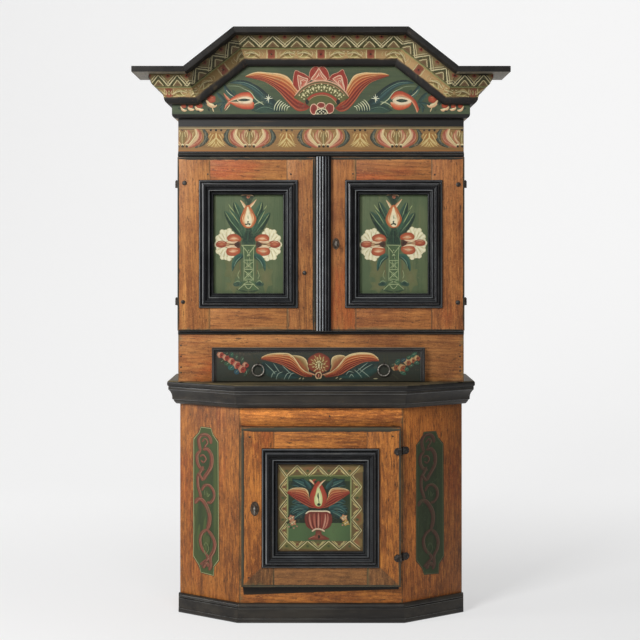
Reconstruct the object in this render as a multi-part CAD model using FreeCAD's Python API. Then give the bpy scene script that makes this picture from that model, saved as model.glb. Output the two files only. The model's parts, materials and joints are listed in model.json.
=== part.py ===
import FreeCAD, Part
import math
import os

# A painted pine kas cupboard in two stages: a base with canted corners and one
# overlay door, a shallower upper case with a drawer and two overlay doors, and
# a crown shaped as a raised, broken-cornered pediment.
#
# Millimetres. X runs along the front (right is +X), +Y points to the wall and
# +Z is up. The origin is the middle of the footprint box, on the floor.

V = FreeCAD.Vector

# ---------------------------------------------------------------- overall sizes
case_width = 1000.0         # outside width of the base and of the upper case
base_depth = 374.0          # wall to the front face of the base
upper_depth = 300.0         # wall to the front face of the upper case
base_height = 798.0         # base boards, up to the waist board
upper_height = 920.0        # upper case, from the waist board to the crown
cant_width = 218.0          # canted corner, measured along the front
cant_depth = 140.0          # canted corner, measured front to back

# ---------------------------------------------------------------- board thickness
case_board = 24.0           # sides, canted boards and front frame of the base
shelf_board = 20.0          # shelves, bottoms and the dust board
back_board = 12.0           # back planks
front_board = 20.0          # drawer surround and frieze, nailed on the side edges
crown_board = 20.0          # tympanum and sides of the crown
housing_depth = 8.0         # how far a shelf is let into a side board
plank_count = 4
plank_lap = 10.0

# ---------------------------------------------------------------- clearances
past = 1.0                  # how far a cutting shape runs past a face
face_gap = 0.3              # between a closed overlay door and its case
slide_gap = 0.3             # under and beside a sliding piece
pin_gap = 0.05              # round a hinge pin
bore_gap = 0.1              # round a key shank
slot_gap = 0.5              # beside and below a key's bit in the keyhole
ring_gap = 0.5              # round a pull ring in its eye

# ---------------------------------------------------------------- waist and plinth
waist_board = 22.0
waist_overhang = 44.0
waist_nose = 9.0            # rounding of the waist board's edges
waist_moulding_height = 61.0
waist_cap_depth = 38.0
waist_cap_height = 12.0
waist_cove_depth = 11.0
waist_cove_height = 33.0
waist_foot_depth = 12.0
waist_step = 4.5
plinth_height = 66.0
plinth_depth = 15.0
plinth_foot_height = 17.0
plinth_foot_depth = 18.0
plinth_bead_height = 15.0
plinth_end_overhang = 4.0

# ---------------------------------------------------------------- base front
base_bottom_rail = 146.0
base_top_rail = 144.0
base_stile = 26.0           # the strip of frame seen from inside, beside the opening
base_floor_drop = 4.0       # floor board below the top of the bottom rail
base_shelf_level = 430.0
base_shelf_setback = 62.0

# ---------------------------------------------------------------- lower door
lower_door_margin = 8.0     # strip of the base's front left bare on each side
lower_door_thick = 26.0
lower_door_lap = 20.0       # overlap on the bottom and top rails
lower_stile_left = 114.0
lower_stile_right = 117.0
lower_rail_top = 116.0
lower_rail_bottom = 110.0
lower_moulding_scale = 1.08

# ---------------------------------------------------------------- upper front
surround_height = 192.0     # drawer surround, above the waist board
surround_door_lap = 12.0    # surround hidden behind the doors
frieze_height = 149.5
frieze_door_lap = 15.0      # frieze hidden behind the doors
upper_door_thick = 25.0
door_split_x = -17.5        # where the two doors meet
door_split_gap = 2.0
left_outer_stile = 114.0
left_inner_stile = 101.0
right_inner_stile = 139.5
right_outer_stile = 116.0
upper_rail_top = 120.0
upper_rail_bottom = 118.0
rail_bead_height = 13.0
rail_bead_depth = 9.0
bead_drop = 2.0             # gap between a door edge and the bead beside it
frieze_bead_height = 17.0
frieze_bead_depth = 12.0
upper_shelf_low = 192.0     # shelves above the upper case's floor
upper_shelf_high = 392.0
upper_shelf_setback = 48.0
dust_board_drop = 4.0       # floor of the upper case below the surround's top

# ---------------------------------------------------------------- door construction
panel_recess = 9.0          # panel face behind the frame face
panel_field = 2.0           # field in front of the panel's tongue
panel_tongue = 5.0
panel_back = 5.0
panel_bevel = 22.0
groove_depth = 8.0
panel_play = 0.5
tenon_length = 45.0
tenon_thick = 8.0
tenon_shoulder = 16.0
moulding_lip = 12.0         # part of the moulding inside the frame opening
moulding_width = 52.0
moulding_crown = 19.0       # how far the moulding stands off the door
astragal_width = 52.0
astragal_depth = 20.0
astragal_edge = 7.0
astragal_reeds = 5
reed_rise = 2.6

# ---------------------------------------------------------------- drawer
drawer_margin_left = 120.0  # surround left of the drawer front
drawer_margin_right = 138.0
drawer_front_height = 118.0
drawer_front_thick = 22.0
drawer_front_lap = 21.0     # drawer front past the drawer's sides
drawer_lift = 3.0           # drawer front above the waist board
drawer_side_height = 90.0
drawer_side = 12.0
drawer_depth = 270.0
drawer_bottom = 8.0
drawer_groove = 5.0
drawer_bottom_lift = 9.0
drawer_housing = 6.0
drawer_tails = 3
drawer_tail_flare = 3.0
opening_play = 2.0          # surround cut-out, beside and above the drawer sides
runner_height = 8.0
runner_ledge = 24.0
guide_thick = 18.0
kicker_height = 12.0
drawer_strip_width = 15.0
drawer_strip_depth = 7.0

# ---------------------------------------------------------------- pull rings
ring_inset_left = 161.0     # rings from the ends of the drawer front
ring_inset_right = 143.0
ring_radius = 20.0          # to the middle of the wire
ring_wire = 2.4
ring_center_height = 39.6   # above the drawer front's lower edge
eye_radius = 5.6
eye_thick = 4.0
eye_standoff = 6.2
shank_radius = 2.4

# ---------------------------------------------------------------- crown
crown_floor = 16.0
crown_wing_height = 146.0   # case top to the underside of the wing roofs
pediment_rise = 134.0
pediment_wing = 176.0       # level stretch at each end of the roof
pediment_rake_run = 170.0   # each sloping stretch, measured level
roof_board = 20.0
roof_side_overhang = 54.0
roof_front_overhang = 54.0
roof_depth = 222.0          # roof boards, front to back
crown_edge_round = 15.0
crown_inner_inset = 4.0     # inner board in front of the roof boards' rear edge
cornice_foot = 9.0
band_depth = 16.0
band_height = 20.0
band_quirk = 2.0
cavetto_depth = 22.0
cavetto_height = 32.0
step_size = 2.0
ovolo_depth = 21.0
ovolo_height = 43.0

# ---------------------------------------------------------------- ironwork
leaf_thick = 2.5
knuckle_radius = 5.0
pin_radius = 2.5
knuckle_height = 8.0
knuckle_gap = 0.4
leaf_margin = 1.5           # door leaf short of the upper door's front face
case_leaf_length = 30.0
upper_hinge_low = 100.0     # hinge from the upper door's lower edge
upper_hinge_high = 95.5     # hinge from the upper door's upper edge
lower_hinge_low = 99.0
lower_hinge_high = 84.0
lower_leaf_length = 24.0
lower_leaf_round = 13.0
lower_hinge_setback = 7.0   # axis in front of the base's front face
key_shank = 3.0
key_bit_reach = 14.0
key_bit_thick = 4.0
key_bit_length = 7.0
key_collar = 4.6
escutcheon_thick = 1.5
lock_wall = 2.0
lock_height = 62.0
lock_edge_gap = 2.0         # lock case from the base's stile
bolt_height = 12.0
bolt_thick = 7.0
bolt_face_gap = 4.0         # bolt behind the door's back face
bolt_throw = 14.0
bolt_overlap = 3.0          # key's bit reaches this far into the bolt
talon_play = 3.5
upper_key_inset = 69.5      # key from the right door's free edge
upper_key_bow = 22.0
upper_lock_left = 62.0      # lock case left and right of the key
upper_lock_right = 34.0
lower_key_inset = 47.0      # key from the lower door's free edge
lower_key_drop = 5.0        # key below the middle of the lower door
lower_key_bow = 30.0
lower_lock_right = 41.0
key_standout = 40.0         # bow's far edge in front of the door
latch_width = 12.0
latch_thick = 5.0
latch_length = 130.0
latch_travel = 16.0
latch_drop = 3.0            # latch tip below the frieze, drawn back
latch_inset_x = 60.0        # latch from the left door's free edge
latch_knob = 5.0
latch_knob_length = 12.0
staple_wall = 3.0
staple_height = 10.0
socket_play = 1.0

# ---------------------------------------------------------------- derived places
half_case = case_width / 2.0
cornice_projection = cornice_foot + band_depth + cavetto_depth + step_size + ovolo_depth
cornice_height = band_height + band_quirk + cavetto_height + step_size + ovolo_height
total_depth = upper_depth + crown_board + cornice_projection + roof_front_overhang
wall_y = total_depth / 2.0
base_front_y = wall_y - base_depth
upper_front_y = wall_y - upper_depth
base_front_half = half_case - cant_width
waist_top = base_height + waist_board
case_top = waist_top + upper_height
wing_soffit = case_top + crown_wing_height
surround_top = waist_top + surround_height
frieze_bottom = case_top - frieze_height
upper_door_bottom = surround_top - surround_door_lap
upper_door_top = frieze_bottom + frieze_door_lap
upper_door_front = upper_front_y - face_gap - upper_door_thick
lower_door_bottom = base_bottom_rail - lower_door_lap
lower_door_top = base_height - base_top_rail + lower_door_lap
lower_door_front = base_front_y - face_gap - lower_door_thick
lower_door_half = base_front_half - lower_door_margin
drawer_left = -half_case + drawer_margin_left
drawer_right = half_case - drawer_margin_right
drawer_front_y = upper_front_y - face_gap - drawer_front_thick
upper_floor = surround_top - dust_board_drop
upper_key_x = door_split_x + upper_key_inset
upper_key_level = (upper_door_bottom + upper_door_top) / 2.0
lower_key_x = -lower_door_half + lower_key_inset
lower_key_level = (lower_door_bottom + lower_door_top) / 2.0 - lower_key_drop
lower_lock_left = lower_key_x + base_front_half - base_stile - lock_edge_gap
lock_depth = bolt_face_gap + bolt_thick + slide_gap + lock_wall

NODES = {}


# ================================================================ shape helpers
def node(name, shapes):
    """Keep one node: a solid, or a group of separate solids."""
    group = shapes if isinstance(shapes, list) else [shapes]
    solids = [solid for shape in group for solid in shape.Solids]
    NODES[name] = solids[0] if len(solids) == 1 else Part.makeCompound(solids)


def block(x0, x1, y0, y1, z0, z1):
    """A board from its two corners."""
    return Part.makeBox(x1 - x0, y1 - y0, z1 - z0, V(x0, y0, z0))


def plan_prism(points, z0, z1):
    """A level board from its outline in plan."""
    corners = [V(x, y, z0) for x, y in points]
    wire = Part.makePolygon(corners + corners[:1])
    return Part.Face(wire).extrude(V(0, 0, z1 - z0))


def front_prism(points, y0, y1):
    """An upright board from its outline (x, z) seen from the front."""
    corners = [V(x, y0, z) for x, z in points]
    wire = Part.makePolygon(corners + corners[:1])
    return Part.Face(wire).extrude(V(0, y1 - y0, 0))


def rod_y(x, z, radius, y0, y1):
    """A round rod or bore that runs front to back."""
    return Part.makeCylinder(radius, y1 - y0, V(x, y0, z), V(0, 1, 0))


def rod_z(x, y, radius, z0, z1):
    """An upright round rod or bore."""
    return Part.makeCylinder(radius, z1 - z0, V(x, y, z0))


def mirrored(shape):
    """The same shape on the other side of the middle plane."""
    return shape.mirror(V(0, 0, 0), V(1, 0, 0))


def unit(p, q):
    """Direction from p to q in the plane."""
    dx = q[0] - p[0]
    dy = q[1] - p[1]
    length = math.hypot(dx, dy)
    return dx / length, dy / length


def parallel(points, distance, closed=False):
    """Mitred parallel of a line of points, to the right of its travel."""
    count = len(points)
    result = []
    for i, here in enumerate(points):
        before = points[i - 1] if i > 0 or closed else None
        after = points[(i + 1) % count] if i < count - 1 or closed else None
        way_in = unit(before, here) if before else unit(here, after)
        way_out = unit(here, after) if after else way_in
        n1 = (way_in[1], -way_in[0])
        n2 = (way_out[1], -way_out[0])
        scale = distance / (1.0 + n1[0] * n2[0] + n1[1] * n2[1])
        result.append((here[0] + (n1[0] + n2[0]) * scale, here[1] + (n1[1] + n2[1]) * scale))
    return result


def section(start, steps):
    """Closed section in the XZ plane. A step is (x, z), or (x, z, rise) for an arc
    whose middle stands off its chord by rise, to the left of its travel."""
    edges = []
    here = start
    for step in steps:
        there = step[:2]
        if len(step) == 3:
            way = unit(here, there)
            mid = ((here[0] + there[0]) / 2.0 - way[1] * step[2],
                   (here[1] + there[1]) / 2.0 + way[0] * step[2])
            arc = Part.Arc(V(here[0], 0, here[1]), V(mid[0], 0, mid[1]), V(there[0], 0, there[1]))
            edges.append(arc.toShape())
        else:
            edges.append(Part.makeLine(V(here[0], 0, here[1]), V(there[0], 0, there[1])))
        here = there
    edges.append(Part.makeLine(V(here[0], 0, here[1]), V(start[0], 0, start[1])))
    return Part.Face(Part.Wire(edges))


def mitred_run(points, profile, closed=False):
    """One solid for each stretch of a line in plan, mitred where it turns. The
    profile's x is the distance to the right of the line, its z is height."""
    bounds = profile.BoundBox
    inner = parallel(points, bounds.XMin - past, closed)
    outer = parallel(points, bounds.XMax + past, closed)
    count = len(points)
    reach = 2.0 * max(abs(bounds.XMin), abs(bounds.XMax)) + 2.0
    solids = []
    for i in range(count if closed else count - 1):
        j = (i + 1) % count
        p = points[i]
        way = unit(p, points[j])
        length = math.dist(p, points[j])
        turn = math.degrees(math.atan2(-way[0], way[1]))
        bar = profile.copy()
        bar.translate(V(0, -reach, 0))
        bar = bar.extrude(V(0, length + 2.0 * reach, 0))
        bar.Placement = FreeCAD.Placement(V(p[0], p[1], 0), FreeCAD.Rotation(V(0, 0, 1), turn))
        stretch = [inner[i], inner[j], outer[j], outer[i]]
        solids.append(bar.common(plan_prism(stretch, bounds.ZMin - past, bounds.ZMax + past)))
    return solids


def stood_up(shapes, y):
    """Turn runs made in plan to face the front, with their foot on the plane y."""
    result = []
    for shape in shapes:
        turned = shape.copy()
        turned.rotate(V(0, 0, 0), V(1, 0, 0), 90)
        turned.translate(V(0, y, 0))
        result.append(turned)
    return result


def lapped_planks(x0, x1, y0, y1, z0, z1):
    """Upright planks side by side, with half-lapped edges."""
    pitch = (x1 - x0) / plank_count
    middle = (y0 + y1) / 2.0
    planks = []
    for i in range(plank_count):
        left = x0 + i * pitch
        right = left + pitch
        lap_left = plank_lap / 2.0 if i > 0 else 0.0
        lap_right = plank_lap / 2.0 if i < plank_count - 1 else 0.0
        inner = block(left + lap_left, right + lap_right, y0, middle, z0, z1)
        outer = block(left - lap_left, right - lap_right, middle, y1, z0, z1)
        planks.append(inner.fuse(outer).removeSplitter())
    return planks


# ================================================================ base
def base_outline():
    """Outer line of the base in plan, from the left rear to the right rear."""
    shoulder = base_front_y + cant_depth
    left = [(-half_case, wall_y), (-half_case, shoulder), (-base_front_half, base_front_y)]
    return left + [(-x, y) for x, y in reversed(left)]


def base_board(index, z0, z1):
    """One upright board of the base shell, mitred to its neighbours."""
    outer = base_outline()
    inner = parallel(outer, -case_board)
    points = [outer[index], outer[index + 1], inner[index + 1], inner[index]]
    return plan_prism(points, z0, z1)


def base_level_board(top, front_y):
    """A board that fills the base in plan, let into its shell."""
    points = parallel(base_outline(), housing_depth - case_board)
    rear = wall_y - back_board
    front_half = half_case - case_board + housing_depth
    solid = plan_prism(points, top - shelf_board, top)
    return solid.common(block(-front_half, front_half, front_y, rear, top - shelf_board, top))


def build_base():
    opening_half = base_front_half - base_stile
    floor_top = base_bottom_rail - base_floor_drop
    floor = base_level_board(floor_top, base_front_y + case_board)
    shelf = base_level_board(base_shelf_level, base_front_y + base_shelf_setback)
    rear = block(-half_case + case_board - housing_depth, half_case - case_board + housing_depth,
                 wall_y - back_board, wall_y, 0, base_height)
    sides = [base_board(i, 0, base_height).cut([floor, shelf, rear]) for i in (0, 4)]
    cants = [base_board(i, 0, base_height).cut([floor, shelf]) for i in (1, 3)]
    front = base_board(2, 0, base_height)
    zone = (base_front_y - past, base_front_y + case_board + past, base_bottom_rail,
            base_height - base_top_rail)
    opening = block(-opening_half, opening_half, *zone)
    stile_zone = block(-half_case, half_case, *zone)
    stiles = front.common(stile_zone).cut(opening)
    keeper = lower_lock_keeper()
    node("base_side_boards", sides)
    node("base_canted_boards", cants)
    node("base_front_frame", [stiles.cut(keeper), front.cut(stile_zone)])
    node("base_floor", floor)
    node("base_shelf", shelf)
    node("base_back_planks", lapped_planks(rear.BoundBox.XMin, rear.BoundBox.XMax,
                                           wall_y - back_board, wall_y, 0, base_height))


def build_plinth():
    """Moulded skirting on the front and the canted faces, cut off at the sides."""
    bead_foot = plinth_height - plinth_bead_height
    profile = section((0.0, 0.0), [
        (plinth_foot_depth - 2.0, 0.0),
        (plinth_foot_depth, 3.0),
        (plinth_foot_depth, plinth_foot_height - 2.0),
        (plinth_depth, plinth_foot_height),
        (plinth_depth, bead_foot - 2.0),
        (plinth_depth - 4.0, bead_foot),
        (plinth_depth - 1.0, bead_foot + 3.0),
        (plinth_depth - 9.0, plinth_height, -3.0),
        (0.0, plinth_height)])
    outer = base_outline()
    way = unit(outer[2], outer[1])
    spare = 3.0 * plinth_foot_depth
    start = (outer[1][0] + way[0] * spare, outer[1][1] + way[1] * spare)
    line = [start, outer[2], outer[3], (-start[0], start[1])]
    limit = half_case + plinth_end_overhang
    keep = block(-limit, limit, base_front_y - spare, wall_y, -past, plinth_height + past)
    runs = [run.common(keep) for run in mitred_run(line, profile)]
    node("plinth_mouldings", runs)


def build_waist():
    outline = parallel(base_outline(), waist_overhang)
    board = plan_prism(outline, base_height, waist_top)
    rounded = []
    for edge in board.Edges:
        box = edge.BoundBox
        level = box.ZLength < 0.01
        at_wall = box.YMin > wall_y - 0.01
        if level and not at_wall:
            rounded.append(edge)
    node("waist_board", board.makeFillet(waist_nose, rounded))
    foot = base_height - waist_moulding_height
    cap_foot = base_height - waist_cap_height
    cove_foot = cap_foot - waist_cove_height
    cove_depth = waist_cap_depth - waist_cove_depth
    foot_depth = cove_depth - waist_step
    profile = section((0.0, foot), [
        (waist_foot_depth, foot),
        (foot_depth, cove_foot - 1.5, -1.5),
        (cove_depth, cove_foot),
        (waist_cap_depth, cap_foot, 4.0),
        (waist_cap_depth + 2.0, cap_foot + 2.0),
        (waist_cap_depth + 2.0, base_height),
        (0.0, base_height)])
    node("waist_mouldings", mitred_run(base_outline(), profile))


# ================================================================ upper case
def build_upper_case():
    rear_y = wall_y - back_board
    inner_half = half_case - case_board
    housed_half = inner_half + housing_depth
    board_back = upper_front_y + front_board
    dust = block(-housed_half, housed_half, board_back, rear_y, upper_floor - shelf_board,
                 upper_floor)
    top = block(-housed_half, housed_half, board_back, rear_y, case_top - shelf_board, case_top)
    shelves = [block(-housed_half, housed_half, upper_front_y + upper_shelf_setback, rear_y,
                     upper_floor + rise - shelf_board, upper_floor + rise)
               for rise in (upper_shelf_low, upper_shelf_high)]
    rear = block(-housed_half, housed_half, rear_y, wall_y, waist_top, case_top)
    surround = drawer_surround(board_back)
    frieze = block(-half_case, half_case, upper_front_y, board_back, frieze_bottom, case_top)
    left = block(-half_case, -inner_half, upper_front_y, wall_y, waist_top, case_top)
    notch = (-half_case - past, -inner_half + past, upper_front_y - past, board_back)
    below = block(*notch, waist_top - past, surround_top)
    above = block(*notch, frieze_bottom, case_top + past)
    left = left.cut([dust, top, rear, below, above] + shelves)
    node("upper_side_boards", [left, mirrored(left)])
    node("drawer_surround", surround)
    node("frieze_board", frieze.cut(latch_socket()))
    node("dust_board", dust)
    node("upper_shelves", shelves)
    node("upper_top_board", top)
    node("upper_back_planks", lapped_planks(-housed_half, housed_half, rear_y, wall_y,
                                            waist_top, case_top))
    node("case_beads", [rail_bead(), frieze_bead()])


def drawer_surround(back):
    """Front board with the drawer's opening cut up from its lower edge."""
    margin = drawer_front_lap - opening_play
    head = drawer_rest() + drawer_side_height + opening_play
    board = block(-half_case, half_case, upper_front_y, back, waist_top, surround_top)
    opening = block(drawer_left + margin, drawer_right - margin, upper_front_y - past,
                    back + past, waist_top - past, head)
    return board.cut(opening)


def rail_bead():
    """Half-round bead under the upper doors, returned on itself at both ends."""
    top = upper_door_bottom - bead_drop
    profile = section((0.0, top - rail_bead_height), [
        (2.0, top - rail_bead_height),
        (rail_bead_depth - 3.0, top - 4.0, -2.5),
        (rail_bead_depth, top - 2.0),
        (rail_bead_depth, top),
        (0.0, top)])
    return front_run(profile, half_case)


def frieze_bead():
    """Moulded bead above the upper doors."""
    foot = upper_door_top + bead_drop
    top = foot + frieze_bead_height
    profile = section((0.0, foot), [
        (frieze_bead_depth - 4.0, foot),
        (frieze_bead_depth, foot + 4.0, -1.2),
        (frieze_bead_depth - 2.0, top - 6.0, -1.2),
        (4.0, top - 2.0, 1.8),
        (4.0, top),
        (0.0, top)])
    return front_run(profile, half_case)


def front_run(profile, half):
    """A straight moulding on the upper case's front face."""
    return mitred_run([(-half, upper_front_y), (half, upper_front_y)], profile)[0]


# ================================================================ doors
def panel_moulding(x0, x1, z0, z1, front, scale):
    """Four mitred lengths of bolection moulding round a panel; x0..z1 is the
    sight opening. Its lip goes down past the frame to the panel's face."""
    w = moulding_width * scale
    h = moulding_crown
    profile = section((0.0, -panel_recess), [
        (moulding_lip, -panel_recess),
        (moulding_lip, 0.0),
        (w, 0.0),
        (w * 0.98, h * 0.21),
        (w * 0.79, h * 0.26, -4.5),
        (w * 0.74, h * 0.31),
        (w * 0.73, h * 0.66),
        (w * 0.50, h * 0.90, -3.8),
        (w * 0.41, h * 0.60, 1.2),
        (w * 0.33, h * 0.62),
        (w * 0.22, h * 0.46, -2.4),
        (w * 0.12, h * 0.08, 1.8),
        (0.0, h * 0.08, -2.8)])
    line = [(x0, z0), (x1, z0), (x1, z1), (x0, z1)]
    return stood_up(mitred_run(line, profile, closed=True), front)


def framed_door(name, x0, x1, z0, z1, front, thick, stiles, rails, scale=1.0, cutters=()):
    """Framed door: two stiles, two tenoned rails, a grooved-in panel and its
    moulding. The cutters make holes in the stiles."""
    back = front + thick
    open_x = (x0 + stiles[0], x1 - stiles[1])
    open_z = (z0 + rails[0], z1 - rails[1])
    tongue = front + panel_recess + panel_field
    groove = block(open_x[0] - groove_depth, open_x[1] + groove_depth, tongue,
                   tongue + panel_tongue, open_z[0] - groove_depth, open_z[1] + groove_depth)
    tenon_y = (front + back - tenon_thick) / 2.0
    frame_rails = []
    for low, high in ((z0, open_z[0]), (open_z[1], z1)):
        rail = block(open_x[0], open_x[1], front, back, low, high)
        tenon = block(open_x[0] - tenon_length, open_x[1] + tenon_length, tenon_y,
                      tenon_y + tenon_thick, low + tenon_shoulder, high - tenon_shoulder)
        frame_rails.append(rail.fuse(tenon).removeSplitter().cut(groove))
    frame_stiles = []
    for low, high in ((x0, open_x[0]), (open_x[1], x1)):
        stile = block(low, high, front, back, z0, z1)
        frame_stiles.append(stile.cut([groove] + frame_rails + list(cutters)))
    play = panel_play
    field_back = tongue + panel_tongue + panel_back
    plate = block(open_x[0] - groove_depth + play, open_x[1] + groove_depth - play, tongue,
                  tongue + panel_tongue, open_z[0] - groove_depth + play,
                  open_z[1] + groove_depth - play)
    field = block(open_x[0] + play, open_x[1] - play, front + panel_recess, tongue,
                  open_z[0] + play, open_z[1] - play)
    raised = Part.makeWedge(open_x[0] + play, tongue + panel_tongue, open_z[0] + play,
                            open_z[0] + panel_bevel, open_x[0] + panel_bevel,
                            open_x[1] - play, field_back, open_z[1] - play,
                            open_z[1] - panel_bevel, open_x[1] - panel_bevel)
    panel = plate.fuse([field, raised]).removeSplitter()
    lip = moulding_lip
    sight = (open_x[0] + lip, open_x[1] - lip, open_z[0] + lip, open_z[1] - lip)
    node(name + "_stiles", frame_stiles)
    node(name + "_rails", frame_rails)
    node(name + "_panel", panel)
    node(name + "_moulding", panel_moulding(*sight, front, scale))


def astragal():
    """Reeded closing strip on the right door's free edge."""
    x0 = door_split_x + door_split_gap / 2.0
    steps = []
    height = astragal_depth - astragal_edge - reed_rise
    for i in range(astragal_reeds):
        share = (i + 1) / astragal_reeds
        arch = math.sin(math.pi * (0.10 + 0.80 * share))
        steps.append((astragal_width * (1.0 - share), astragal_edge + height * arch, -reed_rise))
    first = astragal_edge + height * math.sin(math.pi * 0.10)
    profile = section((0.0, 0.0), [(astragal_width, 0.0), (astragal_width, first)] + steps)
    line = [(0.0, upper_door_bottom), (0.0, upper_door_top)]
    strip = stood_up(mitred_run(line, profile), upper_door_front)[0]
    strip.translate(V(x0, 0, 0))
    return strip


def build_doors():
    low = upper_door_bottom
    high = upper_door_top
    split_left = door_split_x - door_split_gap / 2.0
    split_right = door_split_x + door_split_gap / 2.0
    rails = (upper_rail_bottom, upper_rail_top)
    framed_door("left_door", -half_case, split_left, low, high, upper_door_front,
                upper_door_thick, (left_outer_stile, left_inner_stile), rails)
    upper_hole = keyhole(upper_key_x, upper_key_level, upper_door_front, upper_front_y)
    framed_door("right_door", split_right, half_case, low, high, upper_door_front,
                upper_door_thick, (right_inner_stile, right_outer_stile), rails,
                cutters=[upper_hole])
    lower_hole = keyhole(lower_key_x, lower_key_level, lower_door_front, base_front_y)
    framed_door("lower_door", -lower_door_half, lower_door_half, lower_door_bottom,
                lower_door_top, lower_door_front, lower_door_thick,
                (lower_stile_left, lower_stile_right), (lower_rail_bottom, lower_rail_top),
                lower_moulding_scale, [lower_hole])
    node("right_door_astragal", astragal())


# ================================================================ hinges
def knuckles(x, y, level, inner):
    """Barrel of a hinge on an upright axis: the two outer knuckles, or the middle one."""
    low = level - 1.5 * knuckle_height
    barrels = []
    for i in range(3):
        if (i == 1) == inner:
            foot = low + i * knuckle_height
            barrels.append(rod_z(x, y, knuckle_radius, foot + knuckle_gap / 2.0,
                                 foot + knuckle_height - knuckle_gap / 2.0))
    return barrels


def tabs(x0, x1, y0, y1, barrels):
    """The stretches of a leaf that run up to its own knuckles."""
    return [block(x0, x1, y0, y1, barrel.BoundBox.ZMin, barrel.BoundBox.ZMax)
            for barrel in barrels]


def hinge_pin(x, y, level):
    """Pin with a domed head, held in the outer knuckles."""
    half = 1.5 * knuckle_height
    pin = rod_z(x, y, pin_radius, level - half, level + half)
    head = Part.makeSphere(pin_radius + 1.4, V(x, y, level + half), V(0, 0, 1), 0, 90, 360)
    return pin.fuse(head).removeSplitter()


def upper_hinge(level):
    """Left upper hinge: door leaf, case leaf and pin."""
    x = -half_case - face_gap - knuckle_radius
    y = upper_front_y - face_gap / 2.0
    half = 1.5 * knuckle_height
    clear = knuckle_radius + face_gap
    plate = (-half_case - leaf_thick, -half_case)
    door_leaf_length = upper_door_thick + face_gap / 2.0 - clear - leaf_margin
    parts = []
    for inner, way, length in ((True, -1.0, door_leaf_length), (False, 1.0, case_leaf_length)):
        barrels = knuckles(x, y, level, inner)
        near = y + way * clear
        far = y + way * (clear + length)
        leaf = block(*plate, min(near, far), max(near, far), level - half, level + half)
        tongues = tabs(*plate, min(y + way * 2.0, near), max(y + way * 2.0, near), barrels)
        bore = rod_z(x, y, pin_radius + (pin_gap if inner else 0.0), level - half - past,
                     level + half + past)
        parts.append(leaf.fuse(barrels + tongues).removeSplitter().cut(bore))
    return parts[0], parts[1], hinge_pin(x, y, level)


def lower_hinge(level):
    """Hinge of the lower door: a leaf wrapped round the door's edge, a leaf on
    the canted board, and a pin."""
    edge = lower_door_half
    x = edge + leaf_thick + knuckle_radius + 2.0 * face_gap
    y = base_front_y - lower_hinge_setback
    half = 1.5 * knuckle_height
    door_barrels = knuckles(x, y, level, True)
    face = lower_door_front - leaf_thick
    lobe = rod_y(edge - lower_leaf_length + lower_leaf_round, level, lower_leaf_round,
                 face, lower_door_front)
    wrap = block(edge - lower_leaf_length + lower_leaf_round, edge + leaf_thick, face,
                 lower_door_front, level - half, level + half)
    side = block(edge, edge + leaf_thick, face, y - 2.0, level - half, level + half)
    reach = tabs(edge, x - 2.0, y - 2.0, y + 1.5, door_barrels)
    bore = rod_z(x, y, pin_radius + pin_gap, level - half - past, level + half + past)
    door_leaf = wrap.fuse([lobe, side] + reach + door_barrels).removeSplitter().cut(bore)
    outer = base_outline()
    way = unit(outer[3], outer[4])
    out = (way[1], -way[0])
    foot = (x - outer[3][0]) * way[0] + (y - outer[3][1]) * way[1]
    clear = knuckle_radius + face_gap
    case_barrels = knuckles(x, y, level, False)

    def on_cant(start, stop, z0, z1):
        points = []
        for along, off in ((start, 0.0), (stop, 0.0), (stop, leaf_thick), (start, leaf_thick)):
            points.append((outer[3][0] + way[0] * along + out[0] * off,
                           outer[3][1] + way[1] * along + out[1] * off))
        return plan_prism(points, z0, z1)

    end = foot + clear + lower_leaf_length - lower_leaf_round
    plate = on_cant(foot + clear, end, level - half, level + half)
    center = V(outer[3][0] + way[0] * end, outer[3][1] + way[1] * end, level)
    round_end = Part.makeCylinder(lower_leaf_round, leaf_thick, center, V(out[0], out[1], 0))
    keep = on_cant(foot + clear, end + lower_leaf_length, level - 2 * half, level + 2 * half)
    tongues = [on_cant(foot + 1.0, foot + clear, barrel.BoundBox.ZMin, barrel.BoundBox.ZMax)
               for barrel in case_barrels]
    bore = rod_z(x, y, pin_radius, level - half - past, level + half + past)
    case_leaf = plate.fuse([round_end.common(keep)] + tongues + case_barrels)
    return door_leaf, case_leaf.removeSplitter().cut(bore), hinge_pin(x, y, level)


def build_hinges():
    left = [upper_hinge(upper_door_bottom + upper_hinge_low),
            upper_hinge(upper_door_top - upper_hinge_high)]
    lower = [lower_hinge(lower_door_bottom + lower_hinge_low),
             lower_hinge(lower_door_top - lower_hinge_high)]
    case_iron = []
    for _, leaf, pin in left:
        case_iron += [leaf, pin, mirrored(leaf), mirrored(pin)]
    node("upper_case_hinges", case_iron)
    node("left_door_hinges", [leaf for leaf, _, _ in left])
    node("right_door_hinges", [mirrored(leaf) for leaf, _, _ in left])
    node("base_hinges", [piece for _, leaf, pin in lower for piece in (leaf, pin)])
    node("lower_door_hinges", [leaf for leaf, _, _ in lower])


# ================================================================ locks and latch
def keyhole(x, z, front, back):
    """Round hole with a slot below it for the key's bit."""
    half = key_bit_thick / 2.0 + slot_gap
    start = front - escutcheon_thick - past
    hole = rod_y(x, z, key_shank + bore_gap, start, back)
    slot = block(x - half, x + half, start, back, z - key_bit_reach - slot_gap, z)
    return hole.fuse(slot)


def oval(center, tall, wide, way):
    """Flat oval face, upright; way is the direction of its half width."""
    ends = (center + V(0, 0, tall), center + way * wide, center)
    return Part.Face(Part.Wire([Part.Ellipse(*ends).toShape()]))


def escutcheon(x, z, front, bow):
    """Oval iron plate round a keyhole."""
    tall = bow * 0.62 + 6.0
    plate = oval(V(x, front - escutcheon_thick, z), tall, tall * 0.62, V(1, 0, 0))
    return plate.extrude(V(0, escutcheon_thick, 0)).cut(keyhole(x, z, front, front + past))


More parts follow.
